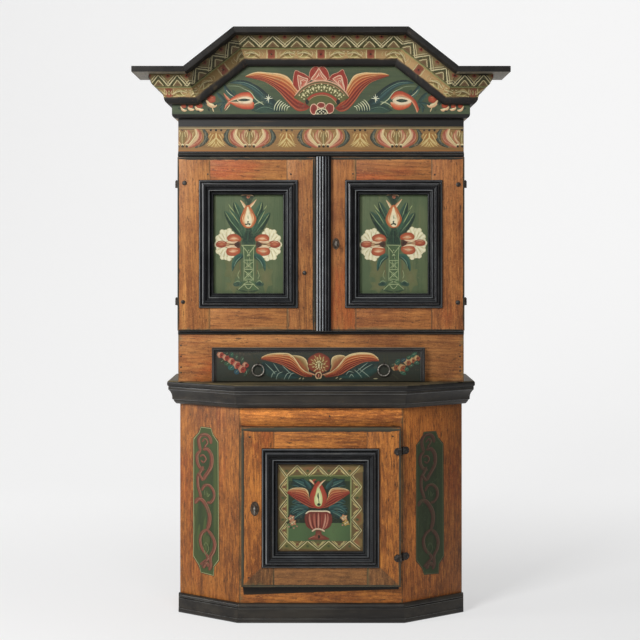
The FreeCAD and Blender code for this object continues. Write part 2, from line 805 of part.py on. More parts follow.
def lock_case(x, z, back, sides, bolt):
    """Iron lock case behind a door: five walls, open towards the wood, with a
    slot for the bolt and a hole that steadies the key's tip."""
    low = z - lock_height / 2.0
    left = x - sides[0]
    right = x + sides[1]
    outer = block(left, right, back, back + lock_depth, low, low + lock_height)
    inner = block(left + lock_wall, right - lock_wall, back - past,
                  back + lock_depth - lock_wall, low + lock_wall, low + lock_height - lock_wall)
    slot = bolt.BoundBox
    way_out = block(left - past, left + lock_wall + past, slot.YMin - slide_gap,
                    slot.YMax + slide_gap, slot.ZMin - slide_gap, slot.ZMax + slide_gap)
    tip = rod_y(x, z, key_shank + bore_gap, back, back + lock_depth + past)
    return outer.cut([inner, way_out, tip])


def lock_bolt(x, z, back, right, left):
    """Flat bolt that slides left; a notch in its lower edge takes the key's bit."""
    rise = key_bit_reach - bolt_overlap
    low = z + rise
    bar = block(left, right, back + bolt_face_gap, back + bolt_face_gap + bolt_thick, low,
                low + bolt_height)
    turned = math.pi - math.acos(rise / key_bit_reach)
    entry = key_bit_reach * math.sin(turned) + bolt_throw * turned / math.pi
    half = talon_play + key_bit_thick / 2.0
    notch = block(x + bolt_throw - half, x + entry + half, back, back + lock_depth,
                  low - past, low + bolt_overlap + slot_gap)
    return bar.cut(notch)


def key(x, z, front, back, bow):
    """Iron key: a ring bow set upright, a collared shank and a bit."""
    tall = bow / 2.0
    wide = tall * 0.78
    wire = 3.6
    far = front - key_standout
    center = V(x - key_bit_thick / 2.0, far + wide, z)
    ring = oval(center, tall, wide, V(0, 1, 0))
    ring = ring.cut(oval(center, tall - wire, wide - wire, V(0, 1, 0)))
    ring = ring.extrude(V(key_bit_thick, 0, 0))
    shank = rod_y(x, z, key_shank, far + 2.0 * wide - wire * 0.7,
                  back + lock_depth - lock_wall / 2.0)
    collar_y = front - escutcheon_thick - 7.0
    collar = rod_y(x, z, key_collar, collar_y, collar_y + 3.0)
    bit_y = back + bolt_face_gap
    bit = block(x - key_bit_thick / 2.0, x + key_bit_thick / 2.0, bit_y, bit_y + key_bit_length,
                z - key_bit_reach, z)
    return ring.fuse([shank, collar, bit]).removeSplitter()


def lower_lock_keeper():
    """Mortise for the lower lock's bolt, in the edge of the left stile."""
    box = lower_bolt().BoundBox
    return block(box.XMin - bolt_throw - socket_play, box.XMin + past,
                 box.YMin - socket_play, box.YMax + socket_play, box.ZMin - socket_play,
                 box.ZMax + socket_play)


def upper_bolt():
    """The right door's bolt, drawn back to just inside the door's free edge."""
    right = upper_key_x + upper_lock_right - lock_wall - slide_gap
    return lock_bolt(upper_key_x, upper_key_level, upper_front_y - face_gap, right,
                     door_split_x + door_split_gap)


def lower_bolt():
    """The lower door's bolt, drawn back clear of the base's left stile."""
    right = lower_key_x + lower_lock_right - lock_wall - slide_gap
    return lock_bolt(lower_key_x, lower_key_level, base_front_y - face_gap, right,
                     -base_front_half + base_stile + socket_play)


def build_locks():
    places = (
        ("upper", upper_key_x, upper_key_level, upper_door_front, upper_door_thick,
         upper_key_bow, (upper_lock_left, upper_lock_right), upper_bolt()),
        ("lower", lower_key_x, lower_key_level, lower_door_front, lower_door_thick,
         lower_key_bow, (lower_lock_left, lower_lock_right), lower_bolt()))
    for name, x, z, front, thick, bow, sides, bolt in places:
        back = front + thick
        case = lock_case(x, z, back, sides, bolt)
        node(name + "_lock", [case, escutcheon(x, z, front, bow)])
        node(name + "_lock_bolt", bolt)
        node(name + "_key", key(x, z, front, back, bow))


def latch_bar_box():
    """Corners of the left door's upright latch, drawn back."""
    x = door_split_x - door_split_gap / 2.0 - latch_inset_x
    top = frieze_bottom - latch_drop
    y = upper_front_y - face_gap + staple_wall + slide_gap
    return (x - latch_width / 2.0, x + latch_width / 2.0, y, y + latch_thick,
            top - latch_length, top)


def latch_socket():
    """Mortise in the frieze's lower edge that the latch slides into."""
    x0, x1, y0, y1, _, top = latch_bar_box()
    return block(x0 - socket_play, x1 + socket_play, y0 - socket_play, y1 + socket_play,
                 top - past, top + latch_travel + latch_drop)


def build_latch():
    """Upright latch behind the left door, held by two staples on plates. Its knob
    rests on the lower staple when the latch is drawn back."""
    x0, x1, y0, y1, low, top = latch_bar_box()
    gap = slide_gap
    bar = block(x0, x1, y0, y1, low, top)
    rest = low + 1.5 * staple_height + gap
    knob = rod_y((x0 + x1) / 2.0, rest + latch_knob, latch_knob, y1, y1 + latch_knob_length)
    node("left_door_latch", bar.fuse(knob).removeSplitter())
    back = upper_front_y - face_gap
    staples = []
    for center in (low + staple_height, top - 1.6 * staple_height):
        z0 = center - staple_height / 2.0
        z1 = center + staple_height / 2.0
        strap = block(x0 - gap - staple_wall, x1 + gap + staple_wall, back,
                      y1 + gap + staple_wall, z0, z1)
        plate = block(x0 - 4.0 * staple_wall, x1 + 4.0 * staple_wall, back,
                      back + staple_wall, z0, z1)
        way = block(x0 - gap, x1 + gap, y0 - gap, y1 + gap, z0 - past, z1 + past)
        staples.append(strap.fuse(plate).removeSplitter().cut(way))
    node("left_door_latch_staples", staples)


# ================================================================ drawer
def drawer_rest():
    """Lower edge of the drawer's sides."""
    return waist_top + runner_height + slide_gap


def build_drawer():
    left = drawer_left + drawer_front_lap
    right = drawer_right - drawer_front_lap
    low = drawer_rest()
    high = low + drawer_side_height
    front_back = upper_front_y - face_gap
    start = front_back - drawer_housing
    end = front_back + drawer_depth
    base_y = end - drawer_side
    bottom = block(left + drawer_side - drawer_groove, right - drawer_side + drawer_groove,
                   front_back - drawer_groove, base_y + drawer_groove,
                   low + drawer_bottom_lift, low + drawer_bottom_lift + drawer_bottom)
    pitch = drawer_side_height / drawer_tails
    tails = []
    for i in range(drawer_tails):
        foot = low + i * pitch
        narrow = (foot + pitch * 0.25, foot + pitch * 0.75)
        for x0, x1 in ((left, left + drawer_side), (right - drawer_side, right)):
            points = [V(x0, base_y, narrow[0]), V(x0, end, narrow[0] - drawer_tail_flare),
                      V(x0, end, narrow[1] + drawer_tail_flare), V(x0, base_y, narrow[1])]
            face = Part.Face(Part.makePolygon(points + points[:1]))
            tails.append(face.extrude(V(x1 - x0, 0, 0)))
    sides = []
    for x0, x1 in ((left, left + drawer_side), (right - drawer_side, right)):
        plank = block(x0, x1, start, base_y, low, high)
        own = [tail for tail in tails if tail.BoundBox.XMin > x0 - 1 and
               tail.BoundBox.XMax < x1 + 1]
        sides.append(plank.fuse(own).removeSplitter().cut(bottom))
    back = block(left, right, base_y, end, low, high).cut(tails + [bottom])
    z0 = waist_top + drawer_lift
    front = block(drawer_left, drawer_right, drawer_front_y, front_back, z0,
                  z0 + drawer_front_height)
    posts = [ring_post(x) for x in ring_places()]
    node("drawer_front", front.cut(sides + [bottom] + posts))
    node("drawer_sides", sides)
    node("drawer_back", back)
    node("drawer_bottom", bottom)
    node("drawer_strips", drawer_strips(z0))
    node("drawer_ring_posts", posts)
    node("drawer_runners", [drawer_runner(-1.0), drawer_runner(1.0)])
    for name, x in zip(("left_pull_ring", "right_pull_ring"), ring_places()):
        node(name, pull_ring(x))


def drawer_strips(z0):
    """Moulded strip up one side of the drawer front, across its top and down."""
    w = drawer_strip_width
    d = drawer_strip_depth
    profile = section((-w, 0.0), [
        (0.0, 0.0),
        (0.0, d * 0.55),
        (-w * 0.35, d, 1.2),
        (-w * 0.60, d * 0.80),
        (-w * 0.72, d * 0.45, -0.8),
        (-w, d * 0.35)])
    top = z0 + drawer_front_height
    line = [(drawer_right, z0), (drawer_right, top), (drawer_left, top), (drawer_left, z0)]
    return stood_up(mitred_run(line, profile), drawer_front_y)


def drawer_runner(side):
    """Guide board beside the drawer, with its ledge below and kicker above."""
    inner = (drawer_right - drawer_left) / 2.0 - drawer_front_lap + slide_gap
    outer = inner + guide_thick
    ledge = inner - runner_ledge
    y0 = upper_front_y + front_board
    y1 = wall_y - back_board
    top = upper_floor - shelf_board
    kick = drawer_rest() + drawer_side_height + slide_gap
    web = block(inner, outer, y0, y1, waist_top, top)
    foot = block(ledge, inner, y0, y1, waist_top, waist_top + runner_height)
    kicker = block(ledge, inner, y0, y1, kick, kick + kicker_height)
    runner = web.fuse([foot, kicker]).removeSplitter()
    if side < 0:
        runner = mirrored(runner)
    runner.translate(V((drawer_left + drawer_right) / 2.0, 0, 0))
    return runner


def ring_places():
    """Middles of the two pull rings along the front."""
    return [drawer_left + ring_inset_left, drawer_right - ring_inset_right]


def ring_pivot():
    """Axis (y, z) that a pull ring swings about, through the top of its wire."""
    z = waist_top + drawer_lift + ring_center_height + ring_radius
    return drawer_front_y - eye_standoff, z


def ring_post(x):
    """Eye on a shank driven through the drawer front."""
    y, z = ring_pivot()
    half = eye_thick / 2.0
    eye = Part.makeCylinder(eye_radius, eye_thick, V(x - half, y, z), V(1, 0, 0))
    hole = Part.makeCylinder(ring_wire + ring_gap, eye_thick + 2.0 * past,
                             V(x - half - past, y, z), V(1, 0, 0))
    shank = rod_y(x, z, shank_radius, y + ring_wire + 1.6, upper_front_y - face_gap)
    collar = rod_y(x, z, 2.0 * shank_radius, drawer_front_y - 1.2, drawer_front_y)
    return eye.fuse([shank, collar]).removeSplitter().cut(hole)


def pull_ring(x):
    """Round wire ring hanging from its eye."""
    y, z = ring_pivot()
    return Part.makeTorus(ring_radius, ring_wire, V(x, y, z - ring_radius), V(0, 1, 0))


# ================================================================ crown
def roof_line():
    """Top of the roof boards, seen from the front, left to right."""
    tip = half_case + crown_board + cornice_projection + roof_side_overhang
    low = wing_soffit + roof_board
    high = low + pediment_rise
    knee = tip - pediment_wing
    left = [(-tip, low), (-knee, low), (-knee + pediment_rake_run, high)]
    return left + [(-x, z) for x, z in reversed(left)]


def under_roof(half):
    """Outline under the roof boards and over the case, out to x = half."""
    soffit = parallel(roof_line(), roof_board)
    top = [(-half, wing_soffit)] + soffit[1:-1] + [(half, wing_soffit)]
    return [(-half, case_top)] + top + [(half, case_top)]


def crown_outline():
    """Outer line of the crown's boards in plan."""
    half = half_case + crown_board
    front = upper_front_y - crown_board
    return [(-half, wall_y), (-half, front), (half, front), (half, wall_y)]


def cornice_section():
    """Black band, cavetto and ovolo, from below; x stands off the crown's face
    and z is measured down from the roof as a negative height."""
    h = -cornice_height
    band_top = cornice_foot + band_depth
    lip = band_top + cavetto_depth
    points = [
        (cornice_foot, h),
        (band_top, h + band_height, -3.5),
        (band_top, h + band_height + band_quirk),
        (lip, h + band_height + band_quirk + cavetto_height, 5.2),
        (lip + step_size, h + band_height + band_quirk + cavetto_height + step_size),
        (lip + step_size + ovolo_depth * 0.80, -ovolo_height * 0.45, -3.0),
        (cornice_projection, -ovolo_height * 0.22, -0.8),
        (cornice_projection, 0.0),
        (0.0, 0.0)]
    return section((0.0, h), points)


def build_crown():
    outline = crown_outline()
    top = roof_line()[2][1]
    board = section((-crown_board, case_top), [
        (-crown_edge_round, case_top),
        (0.0, case_top + crown_edge_round, -crown_edge_round * 0.29),
        (0.0, top),
        (-crown_board, top)])
    left, front, right = mitred_run(outline, board)
    y_front = outline[1][1]
    shape = front_prism(under_roof(half_case + crown_board), y_front - past,
                        upper_front_y + past)
    below = block(-half_case * 2, half_case * 2, y_front - past, wall_y + past, case_top,
                  wing_soffit)
    node("tympanum_board", front.common(shape))
    node("crown_side_boards", [left.common(below), right.common(below)])
    rear_rail = block(-half_case, half_case, wall_y - crown_board, wall_y, case_top, wing_soffit)
    floor = block(-half_case, half_case, upper_front_y, wall_y - crown_board, case_top,
                  case_top + crown_floor)
    roof_rear = roof_front_y() + roof_depth
    inner = front_prism(under_roof(half_case), roof_rear - crown_inner_inset - crown_board,
                        roof_rear - crown_inner_inset)
    keep = block(-half_case, half_case, upper_front_y, wall_y, case_top + crown_floor, top)
    node("crown_inner_boards", [floor, inner.common(keep), rear_rail])
    build_cornice()
    build_roof()


def build_cornice():
    """Cornice on the front, mitred where the pediment breaks and at the corners,
    and returned along both sides."""
    outline = crown_outline()
    profile = cornice_section()
    soffit = parallel(roof_line(), roof_board)
    # Seen from the front, the section's height lies along the distance from the
    # roof and its projection stands up off the crown's face.
    turned = profile.copy()
    turned.rotate(V(0, 0, 0), V(0, 1, 0), 90)
    turned = turned.mirror(V(0, 0, 0), V(0, 0, 1)).mirror(V(0, 0, 0), V(1, 0, 0))
    y_front = outline[1][1]
    runs = stood_up(mitred_run(soffit, turned), y_front)
    spread = cornice_projection + 2.0
    half = outline[2][0]
    corner = [(-half, y_front), (-half - spread, y_front - spread), (half + spread,
              y_front - spread), (half, y_front)]
    keep = plan_prism(corner, case_top, roof_line()[2][1])
    wings = [runs[0].common(keep), runs[4].common(keep)]
    node("cornice_wings", wings)
    node("cornice_rakes", [runs[1], runs[3]])
    node("cornice_centre", runs[2])
    side = profile.copy()
    side.translate(V(0, 0, wing_soffit))
    returns = mitred_run(outline, side)
    node("cornice_returns", [returns[0], returns[2]])


def roof_front_y():
    """Front edge of the roof boards."""
    return upper_front_y - crown_board - cornice_projection - roof_front_overhang


def build_roof():
    """Five roof boards, mitred where the roof bends."""
    depth = roof_depth
    profile = section((0.0, 0.0), [(roof_board, 0.0), (roof_board, depth), (0.0, depth)])
    boards = stood_up(mitred_run(roof_line(), profile), roof_front_y() + depth)
    node("roof_boards", boards)


# ================================================================ all together
def main():
    build_base()
    build_plinth()
    build_waist()
    build_upper_case()
    build_doors()
    build_hinges()
    build_locks()
    build_latch()
    build_drawer()
    build_crown()
    os.makedirs("parts", exist_ok=True)
    for name, shape in NODES.items():
        shape.exportStep("parts/" + name + ".step")
    print(len(NODES), "nodes")


main()
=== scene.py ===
"""Looks of a two-part painted cupboard with canted corners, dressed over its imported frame."""

import json
import logging
import math
import random
import re
from collections.abc import Callable
from dataclasses import dataclass, field, replace
from enum import Enum
from functools import cache

import bmesh
import bpy
from mathutils import Matrix, Vector

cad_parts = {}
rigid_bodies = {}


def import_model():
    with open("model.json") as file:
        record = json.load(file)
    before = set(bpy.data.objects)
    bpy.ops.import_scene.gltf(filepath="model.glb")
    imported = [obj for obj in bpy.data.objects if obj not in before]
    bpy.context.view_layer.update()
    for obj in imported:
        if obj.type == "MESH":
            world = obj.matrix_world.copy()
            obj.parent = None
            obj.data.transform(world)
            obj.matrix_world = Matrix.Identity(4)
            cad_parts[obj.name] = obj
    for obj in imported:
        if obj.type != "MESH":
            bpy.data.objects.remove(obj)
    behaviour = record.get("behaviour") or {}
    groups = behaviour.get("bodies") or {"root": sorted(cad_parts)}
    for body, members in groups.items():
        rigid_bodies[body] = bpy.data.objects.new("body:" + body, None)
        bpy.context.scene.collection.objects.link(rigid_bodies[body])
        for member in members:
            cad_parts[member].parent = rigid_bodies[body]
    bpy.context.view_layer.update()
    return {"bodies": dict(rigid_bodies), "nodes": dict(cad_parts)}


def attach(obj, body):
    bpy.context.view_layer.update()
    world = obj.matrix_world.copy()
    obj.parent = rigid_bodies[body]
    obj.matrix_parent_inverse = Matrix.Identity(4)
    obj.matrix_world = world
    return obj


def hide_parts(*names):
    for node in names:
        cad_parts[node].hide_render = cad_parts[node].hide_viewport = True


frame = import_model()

Socket = bpy.types.NodeSocket
Lay = Callable[[float, float, float], Vector]  # puts a point of a drawing, and its lift off the face, in its place
log = logging.getLogger("cupboard")
MM = 0.001
FIRST_COAT = 0.00012  # how far the lowest paint stands off its board
NEXT_COAT = 0.00004  # and each stroke off the one below it
FRONT = -0.098  # the crown's face
HALF_CROWN = 0.520  # half the crown's width
CROWN_TOP = 2.020  # the cornice's upper edge in the middle
# the y of the front face of each of these, where nails are driven
FACES = {"upper_case": -0.078, "base": -0.152, "drawer": -0.1073, "left_door": -0.1033, "right_door": -0.1033,
    "lower_door": -0.1783}
MOULDING = {"left": 0.052, "right": 0.052, "lower": 0.05616}  # the width of each door's moulding
AGE = 0.66  # old varnish dims every painted stroke to this share of its fresh colour
YELLOWED = (1.0, 0.985, 0.80)  # and leaves these shares of its red, green and blue


# ---------------------------------------------------------------- colour and nodes


def linear(code: str, alpha: float = 1.0) -> tuple[float, float, float, float]:
    """Turn an sRGB hex colour into a linear one.

    Args:
        code: six hex digits, with or without a leading #.
        alpha: the fourth value of the result.

    Returns:
        Red, green, blue and alpha, linear.
    """
    code = code.lstrip("#")
    parts = [int(code[i : i + 2], 16) / 255 for i in (0, 2, 4)]
    return (*[c / 12.92 if c <= 0.04045 else ((c + 0.055) / 1.055) ** 2.4 for c in parts], alpha)


def put(tree: bpy.types.NodeTree, kind: str, inputs: dict | None = None, **settings: object) -> bpy.types.Node:
    """Add one node with its settings and links.

    Args:
        tree: the node tree that gets it.
        kind: the node's type without the leading "ShaderNode".
        inputs: a value, or another node's output socket, by socket name or place.
        settings: properties of the node; "stops" fills a colour ramp.

    Returns:
        The node.
    """
    node = tree.nodes.new("ShaderNode" + kind)
    stops = settings.pop("stops", None)
    for name, value in settings.items():
        setattr(node, name, value)
    if stops:
        ramp = node.color_ramp.elements
        while len(ramp) < len(stops):
            ramp.new(0.5)
        for element, (place, code) in zip(ramp, stops):
            element.position = place
            element.color = linear(code) if isinstance(code, str) else (code, code, code, 1.0)
    for name, value in (inputs or {}).items():
        socket = node.inputs[name]
        if isinstance(value, Socket):
            tree.links.new(value, socket)
        else:
            socket.default_value = value
    return node


class Tree:
    """A material's node tree with short ways to the sums that every finish needs."""

    def __init__(self, name: str) -> None:
        """Start an empty material.

        Args:
            name: the material's name.
        """
        self.material = bpy.data.materials.new(name)
        self.material.use_nodes = True
        self.tree = self.material.node_tree
        self.tree.nodes.clear()
        self.place = self.put("TexCoord").outputs["Object"]

    def put(self, kind: str, inputs: dict | None = None, **settings: object) -> bpy.types.Node:
        """Add one node; see the function of the same name."""
        return put(self.tree, kind, inputs, **settings)

    def math(self, how: str, *values: object) -> Socket:
        """Add a Math node and give its result."""
        return self.put("Math", dict(enumerate(values)), operation=how).outputs[0]

    def sum(self, one: tuple[object, object], other: tuple[object, object]) -> Socket:
        """Add two values, each multiplied by its own factor."""
        return self.math("ADD", self.math("MULTIPLY", *one), self.math("MULTIPLY", *other))

    def vector(self, how: str, *values: object) -> Socket:
        """Add a Vector Math node and give its vector."""
        return self.put("VectorMath", dict(enumerate(values)), operation=how).outputs["Vector"]

    def mix(self, share: object, first: object, second: object, blend: str = "MIX") -> Socket:
        """Mix two colours, given as sockets or hex codes.

        Args:
            share: how much of the second shows.
            first: the colour below.
            second: the colour laid over it.
            blend: the way it is laid.

        Returns:
            The mixed colour.
        """
        node = self.put("Mix", data_type="RGBA", blend_type=blend, clamp_factor=True)
        for place, value in ((0, share), (6, first), (7, second)):
            if isinstance(value, Socket):
                self.tree.links.new(value, node.inputs[place])
            else:
                node.inputs[place].default_value = linear(value) if isinstance(value, str) else value
        return node.outputs[2]

    def noise(self, place: object, scale: float, detail: float = 4.0, rough: float = 0.55) -> Socket:
        """Add a Noise texture and give its value; scale is in features per metre."""
        inputs = {"Vector": place, "Scale": scale, "Detail": detail, "Roughness": rough}
        return self.put("TexNoise", inputs).outputs["Fac"]

    def step(self, value: object, low: float, high: float) -> Socket:
        """Give 0 below low, 1 above high and a smooth rise between.

        Args:
            value: the socket that is read.
            low: where the rise starts.
            high: where it ends.

        Returns:
            The stepped value.
        """
        node = self.put("MapRange", {"Value": value, "From Min": low, "From Max": high},
            interpolation_type="SMOOTHSTEP")
        return node.outputs["Result"]

    def over(self, under: object, code: str, value: object, low: float, high: float, share: float) -> Socket:
        """Lay a colour over another one where a value passes a step.

        Args:
            under: the colour so far.
            code: the colour laid over it.
            value: the socket that decides where.
            low: below this value nothing is laid; a low above high turns the step round.
            high: above this value the whole share is laid.
            share: how far the colour covers at most.

        Returns:
            The new colour.
        """
        step = self.step(value, min(low, high), max(low, high))
        if low > high:
            step = self.math("SUBTRACT", 1.0, step)
        return self.mix(self.math("MULTIPLY", step, share), under, code)

    def own(self, name: str) -> Socket:
        """Read a vector or colour attribute of the mesh."""
        return self.put("Attribute", attribute_name=name).outputs["Vector"]

    def close(self, colour: object, roughness: object, height: object, depth: float,
            **more: object) -> bpy.types.Material:
        """End the tree in one surface.

        Args:
            colour: the base colour's socket.
            roughness: a socket or a number.
            height: a socket for the bump, from 0 to 1.
            depth: the bump's real height in metres.
            more: further inputs of the surface, by name with underscores.

        Returns:
            The finished material.
        """
        bump = self.put("Bump", {"Height": height, "Distance": depth, "Strength": 1.0})
        inputs = {"Base Color": colour, "Roughness": roughness, "Normal": bump.outputs["Normal"]}
        inputs |= {name.replace("_", " "): value for name, value in more.items()}
        surface = self.put("BsdfPrincipled", inputs)
        self.put("OutputMaterial", {"Surface": surface.outputs[0]})
        return self.material


# ---------------------------------------------------------------- finishes


class Finish:
    """A finish that makes its material once and hands it out."""

    made: dict = {}

    def material(self) -> bpy.types.Material:
        """Give the material, made the first time it is asked for.

        Returns:
            The material.
        """
        if self not in Finish.made:
            Finish.made[self] = self.mixed()
        return Finish.made[self]

    def mixed(self) -> bpy.types.Material:
        """Make the material."""
        raise NotImplementedError


@dataclass(frozen=True)
class Pine(Finish):
    """Sawn and planed pine, stained or left bare.

    The mesh's own "fibre" squeezes the pattern along each board and "board" shifts it, so that
    neighbours differ. "mid" and "half" give the board's middle and half size, for wear by its edges.
    painted_light_ramp holds an axis, two levels on it and the gain that the stain reaches at the second: painted
    light and painted shade along the board.
    """

    name: str = "StainedPine"
    light: str = "#ad733c"
    deep: str = "#844e25"
    streak: str = "#42230f"
    worn: str = "#6e6a48"
    wear: float = 0.5
    grime: float = 0.6
    flame: str = "#bf8445"
    red: str = "#a2491c"
    veined: float = 0.22
    painted_light_ramp: tuple = ()

    def mixed(self) -> bpy.types.Material:
        """Pine under an old oil stain: streaks, rings, worn veins, knots and rubbed edges.

        Returns:
            The material.
        """
        t = Tree(self.name)
        fibre = t.own("fibre")
        moved = t.vector("ADD", t.place, t.own("board"))
        along = t.vector("MULTIPLY", moved, fibre)
        # one board in three has a knot about 20 mm wide in each half metre of its length
        loose = t.vector("MULTIPLY", moved, t.vector("MULTIPLY_ADD", fibre, (0.68, 0.68, 0.68), (0.32, 0.32, 0.32)))
        cell = t.put("TexVoronoi", {"Vector": loose, "Scale": 5.5, "Randomness": 1.0}, feature="F1")
        chosen = t.step(t.put("SeparateColor", {0: cell.outputs["Color"]}).outputs[0], 0.60, 0.64)
        near = t.math("MULTIPLY", t.math("SUBTRACT", 1.0, t.step(cell.outputs["Distance"], 0.03, 0.34)), chosen)
        heart = t.math("MULTIPLY", t.math("SUBTRACT", 1.0, t.step(cell.outputs["Distance"], 0.03, 0.085)), chosen)
        # growth rings show 8 to 14 mm apart on plain-sawn faces and bend round the knots
        x, y, z = t.put("SeparateXYZ", {0: along}).outputs
        total = t.math("ADD", t.math("ADD", x, y), z)
        bent = t.math("ADD", total, t.math("MULTIPLY", near, 0.022))
        bent = t.math("ADD", bent, t.math("MULTIPLY", t.noise(along, 7.0, 4.0, 0.6), 0.12))
        wave = t.math("SINE", t.math("MULTIPLY", bent, 2 * math.pi / 0.012))
        rings = t.math("POWER", t.math("MULTIPLY_ADD", wave, 0.5, 0.5), 3.0)
        fibres = t.noise(along, 520.0, 4.0, 0.75)
        streaks = t.noise(along, 42.0, 7.0, 0.72)
        patches = t.noise(moved, 7.0, 6.0, 0.65)
        specks = t.noise(moved, 260.0, 4.0, 0.75)
        short = t.vector("MULTIPLY", moved, t.vector("MULTIPLY_ADD", fibre, (0.85, 0.85, 0.85), (0.15, 0.15, 0.15)))
        ticks = t.noise(short, 150.0, 3.0, 0.7)
        # early wood is worn out between the rings
        veins = t.noise(t.vector("ADD", short, (5.0, 2.0, 7.0)), 135.0, 4.0, 0.7)
        reds = t.noise(t.vector("ADD", loose, (3.0, 1.0, 2.0)), 4.5, 4.0, 0.6)
        blend = t.sum((patches, 0.55), (streaks, 0.45))
        colour = t.mix(t.step(blend, 0.38, 0.62), self.light, self.deep)
        colour = t.over(colour, self.red, reds, 0.54, 0.68, 0.75)
        colour = t.over(colour, self.flame, streaks, 0.44, 0.30, 0.7)
        colour = t.mix(t.math("MULTIPLY", rings, 0.26), colour, self.streak)
        colour = t.over(colour, self.streak, streaks, 0.55, 0.70, 0.62)
        colour = t.over(colour, self.streak, fibres, 0.50, 0.72, 0.42)
        colour = t.over(colour, self.streak, veins, 0.53, 0.62, self.veined)
        colour = t.over(colour, self.flame, veins, 0.47, 0.38, self.veined)
        colour = t.over(colour, "#2c1a0e", specks, 0.57, 0.64, 0.6)
        colour = t.over(colour, "#25150b", ticks, 0.60, 0.68, 0.7)
        colour = t.over(colour, "#d3a066", specks, 0.40, 0.34, 0.35)
        colour = t.mix(t.math("MULTIPLY", heart, 0.85), colour, "#351c0e")
        # the stain is rubbed to a dull grey-green within about 20 mm of an edge, and grime gathers there
        edge = self.edge(t)
        frayed = t.math("ADD", t.math("DIVIDE", edge, 0.034), t.math("MULTIPLY", t.noise(along, 24.0, 6.0, 0.7), 2.7))
        colour = t.over(colour, self.worn, frayed, 1.65, 1.10, self.wear)
        dirt = t.math("ADD", t.math("DIVIDE", edge, 0.012), t.math("MULTIPLY", t.noise(moved, 20.0, 6.0, 0.7), 1.7))
        colour = t.over(colour, "#2a1d13", dirt, 1.45, 0.75, self.grime)
        # painted light and painted shade: the stain is brightened or darkened along one axis
        if self.painted_light_ramp:
            axis, low, high, gain = self.painted_light_ramp
            share = t.step(t.put("SeparateXYZ", {0: t.place}).outputs[axis], low, high)
            colour = t.mix(share, colour, t.mix(1.0, colour, (gain, gain, gain, 1.0), "MULTIPLY"))
        rough = t.math("ADD", t.math("MULTIPLY", fibres, 0.25), t.math("MULTIPLY_ADD", patches, 0.25, 0.24))
        waves = t.sum((rings, 0.25), (streaks, 0.5))
        height = t.math("ADD", t.math("MULTIPLY", fibres, 0.5), waves)
        return t.close(colour, rough, height, 0.0008, Specular_IOR_Level=0.32)

    @staticmethod
    def edge(t: Tree) -> Socket:
        """Give the distance in metres from a board's nearest edge on the face.

        Args:
            t: the material's tree.

        Returns:
            The middle one of the three distances to the sides of the board's box.
        """
        gap = t.vector("SUBTRACT", t.own("half"), t.vector("ABSOLUTE", t.vector("SUBTRACT", t.place, t.own("mid"))))
        x, y, z = t.put("SeparateXYZ", {0: gap}).outputs
        inner = t.math("MINIMUM", t.math("MAXIMUM", x, y), z)
        return t.math("MAXIMUM", t.math("MINIMUM", x, y), inner)


@dataclass(frozen=True)
class Distemper(Finish):
    """Matt glue or oil paint brushed on pine, worn through in places.

    zones names the ground's colours by the level in metres above which each lies.
    """

    name: str
    ground: str
    second: str
    bare: str = "#8a6242"
    worn: float = 0.35
    scuff: str = "#7d776a"
    rub: float = 0.25
    zones: tuple[tuple[float, str], ...] = ()
    by: str = "z"
    streaks: float = 0.2
    tinge: str = ""
    reach: float = 0.012
    rough: float = 0.42
    sheen: float = 0.28

    def mixed(self) -> bpy.types.Material:
        """Old brushed paint: streaks of the brush, chips down to the wood and rubbed high places.

        Returns:
            The material.
        """
        t = Tree(self.name)
        moved = t.vector("ADD", t.place, t.own("board"))
        along = t.vector("MULTIPLY", moved, t.own("fibre"))
        clouds = t.noise(moved, 11.0, 6.0, 0.65)
        brush = t.noise(along, 190.0, 5.0, 0.72)
        wide = t.noise(along, 38.0, 4.0, 0.6)
        flecks = t.noise(moved, 210.0, 6.0, 0.75)
        blend = t.sum((clouds, 0.5), (wide, 0.5))
        colour = t.mix(t.step(blend, 0.42, 0.58), self.ground, self.second)
        if self.zones:
            colour = self.banded(t, colour, clouds)
        colour = t.over(colour, self.scuff, brush, 0.46, 0.70, self.streaks)
        colour = t.over(colour, self.tinge or self.second, wide, 0.56, 0.70, self.streaks)
        edge = Pine.edge(t)
        rubbed = t.math("ADD", t.math("DIVIDE", edge, self.reach), t.math("MULTIPLY", flecks, 2.4))
        colour = t.over(colour, self.scuff, rubbed, 1.6, 1.0, self.rub)
        chips = t.sum((flecks, 0.55), (t.noise(along, 30.0, 5.0), 0.45))
        gone = t.step(chips, 0.575, 0.64)
        colour = t.mix(t.math("MULTIPLY", gone, self.worn), colour, self.bare)
        rough = t.math("MULTIPLY_ADD", brush, 0.22, self.rough)
        height = t.math("SUBTRACT", t.math("MULTIPLY_ADD", brush, 0.5, 0.3), t.math("MULTIPLY", gone, 0.3))
        return t.close(colour, rough, height, 0.0005, Specular_IOR_Level=self.sheen)

    def banded(self, t: Tree, colour: Socket, clouds: Socket) -> Socket:
        """Lay the ground's bands of colour one above another.

        Args:
            t: the material's tree.
            colour: the ground so far.
            clouds: a noise that makes the bands' edges wander by hand.

        Returns:
            The banded colour.
        """
        x, y, z = t.put("SeparateXYZ", {0: t.place}).outputs
        level = z
        if self.by == "out":
            # how far a cornice stands out from its wall, towards the front or a side
            aside = t.math("SUBTRACT", t.math("ABSOLUTE", x), HALF_CROWN)
            level = t.math("MAXIMUM", t.math("SUBTRACT", FRONT, y), aside)
        level = t.math("ADD", level, t.math("MULTIPLY_ADD", clouds, 0.0016, -0.0008))
        for start, code in self.zones:
            colour = t.mix(t.step(level, start - 0.0004, start + 0.0004), colour, code)
        return colour


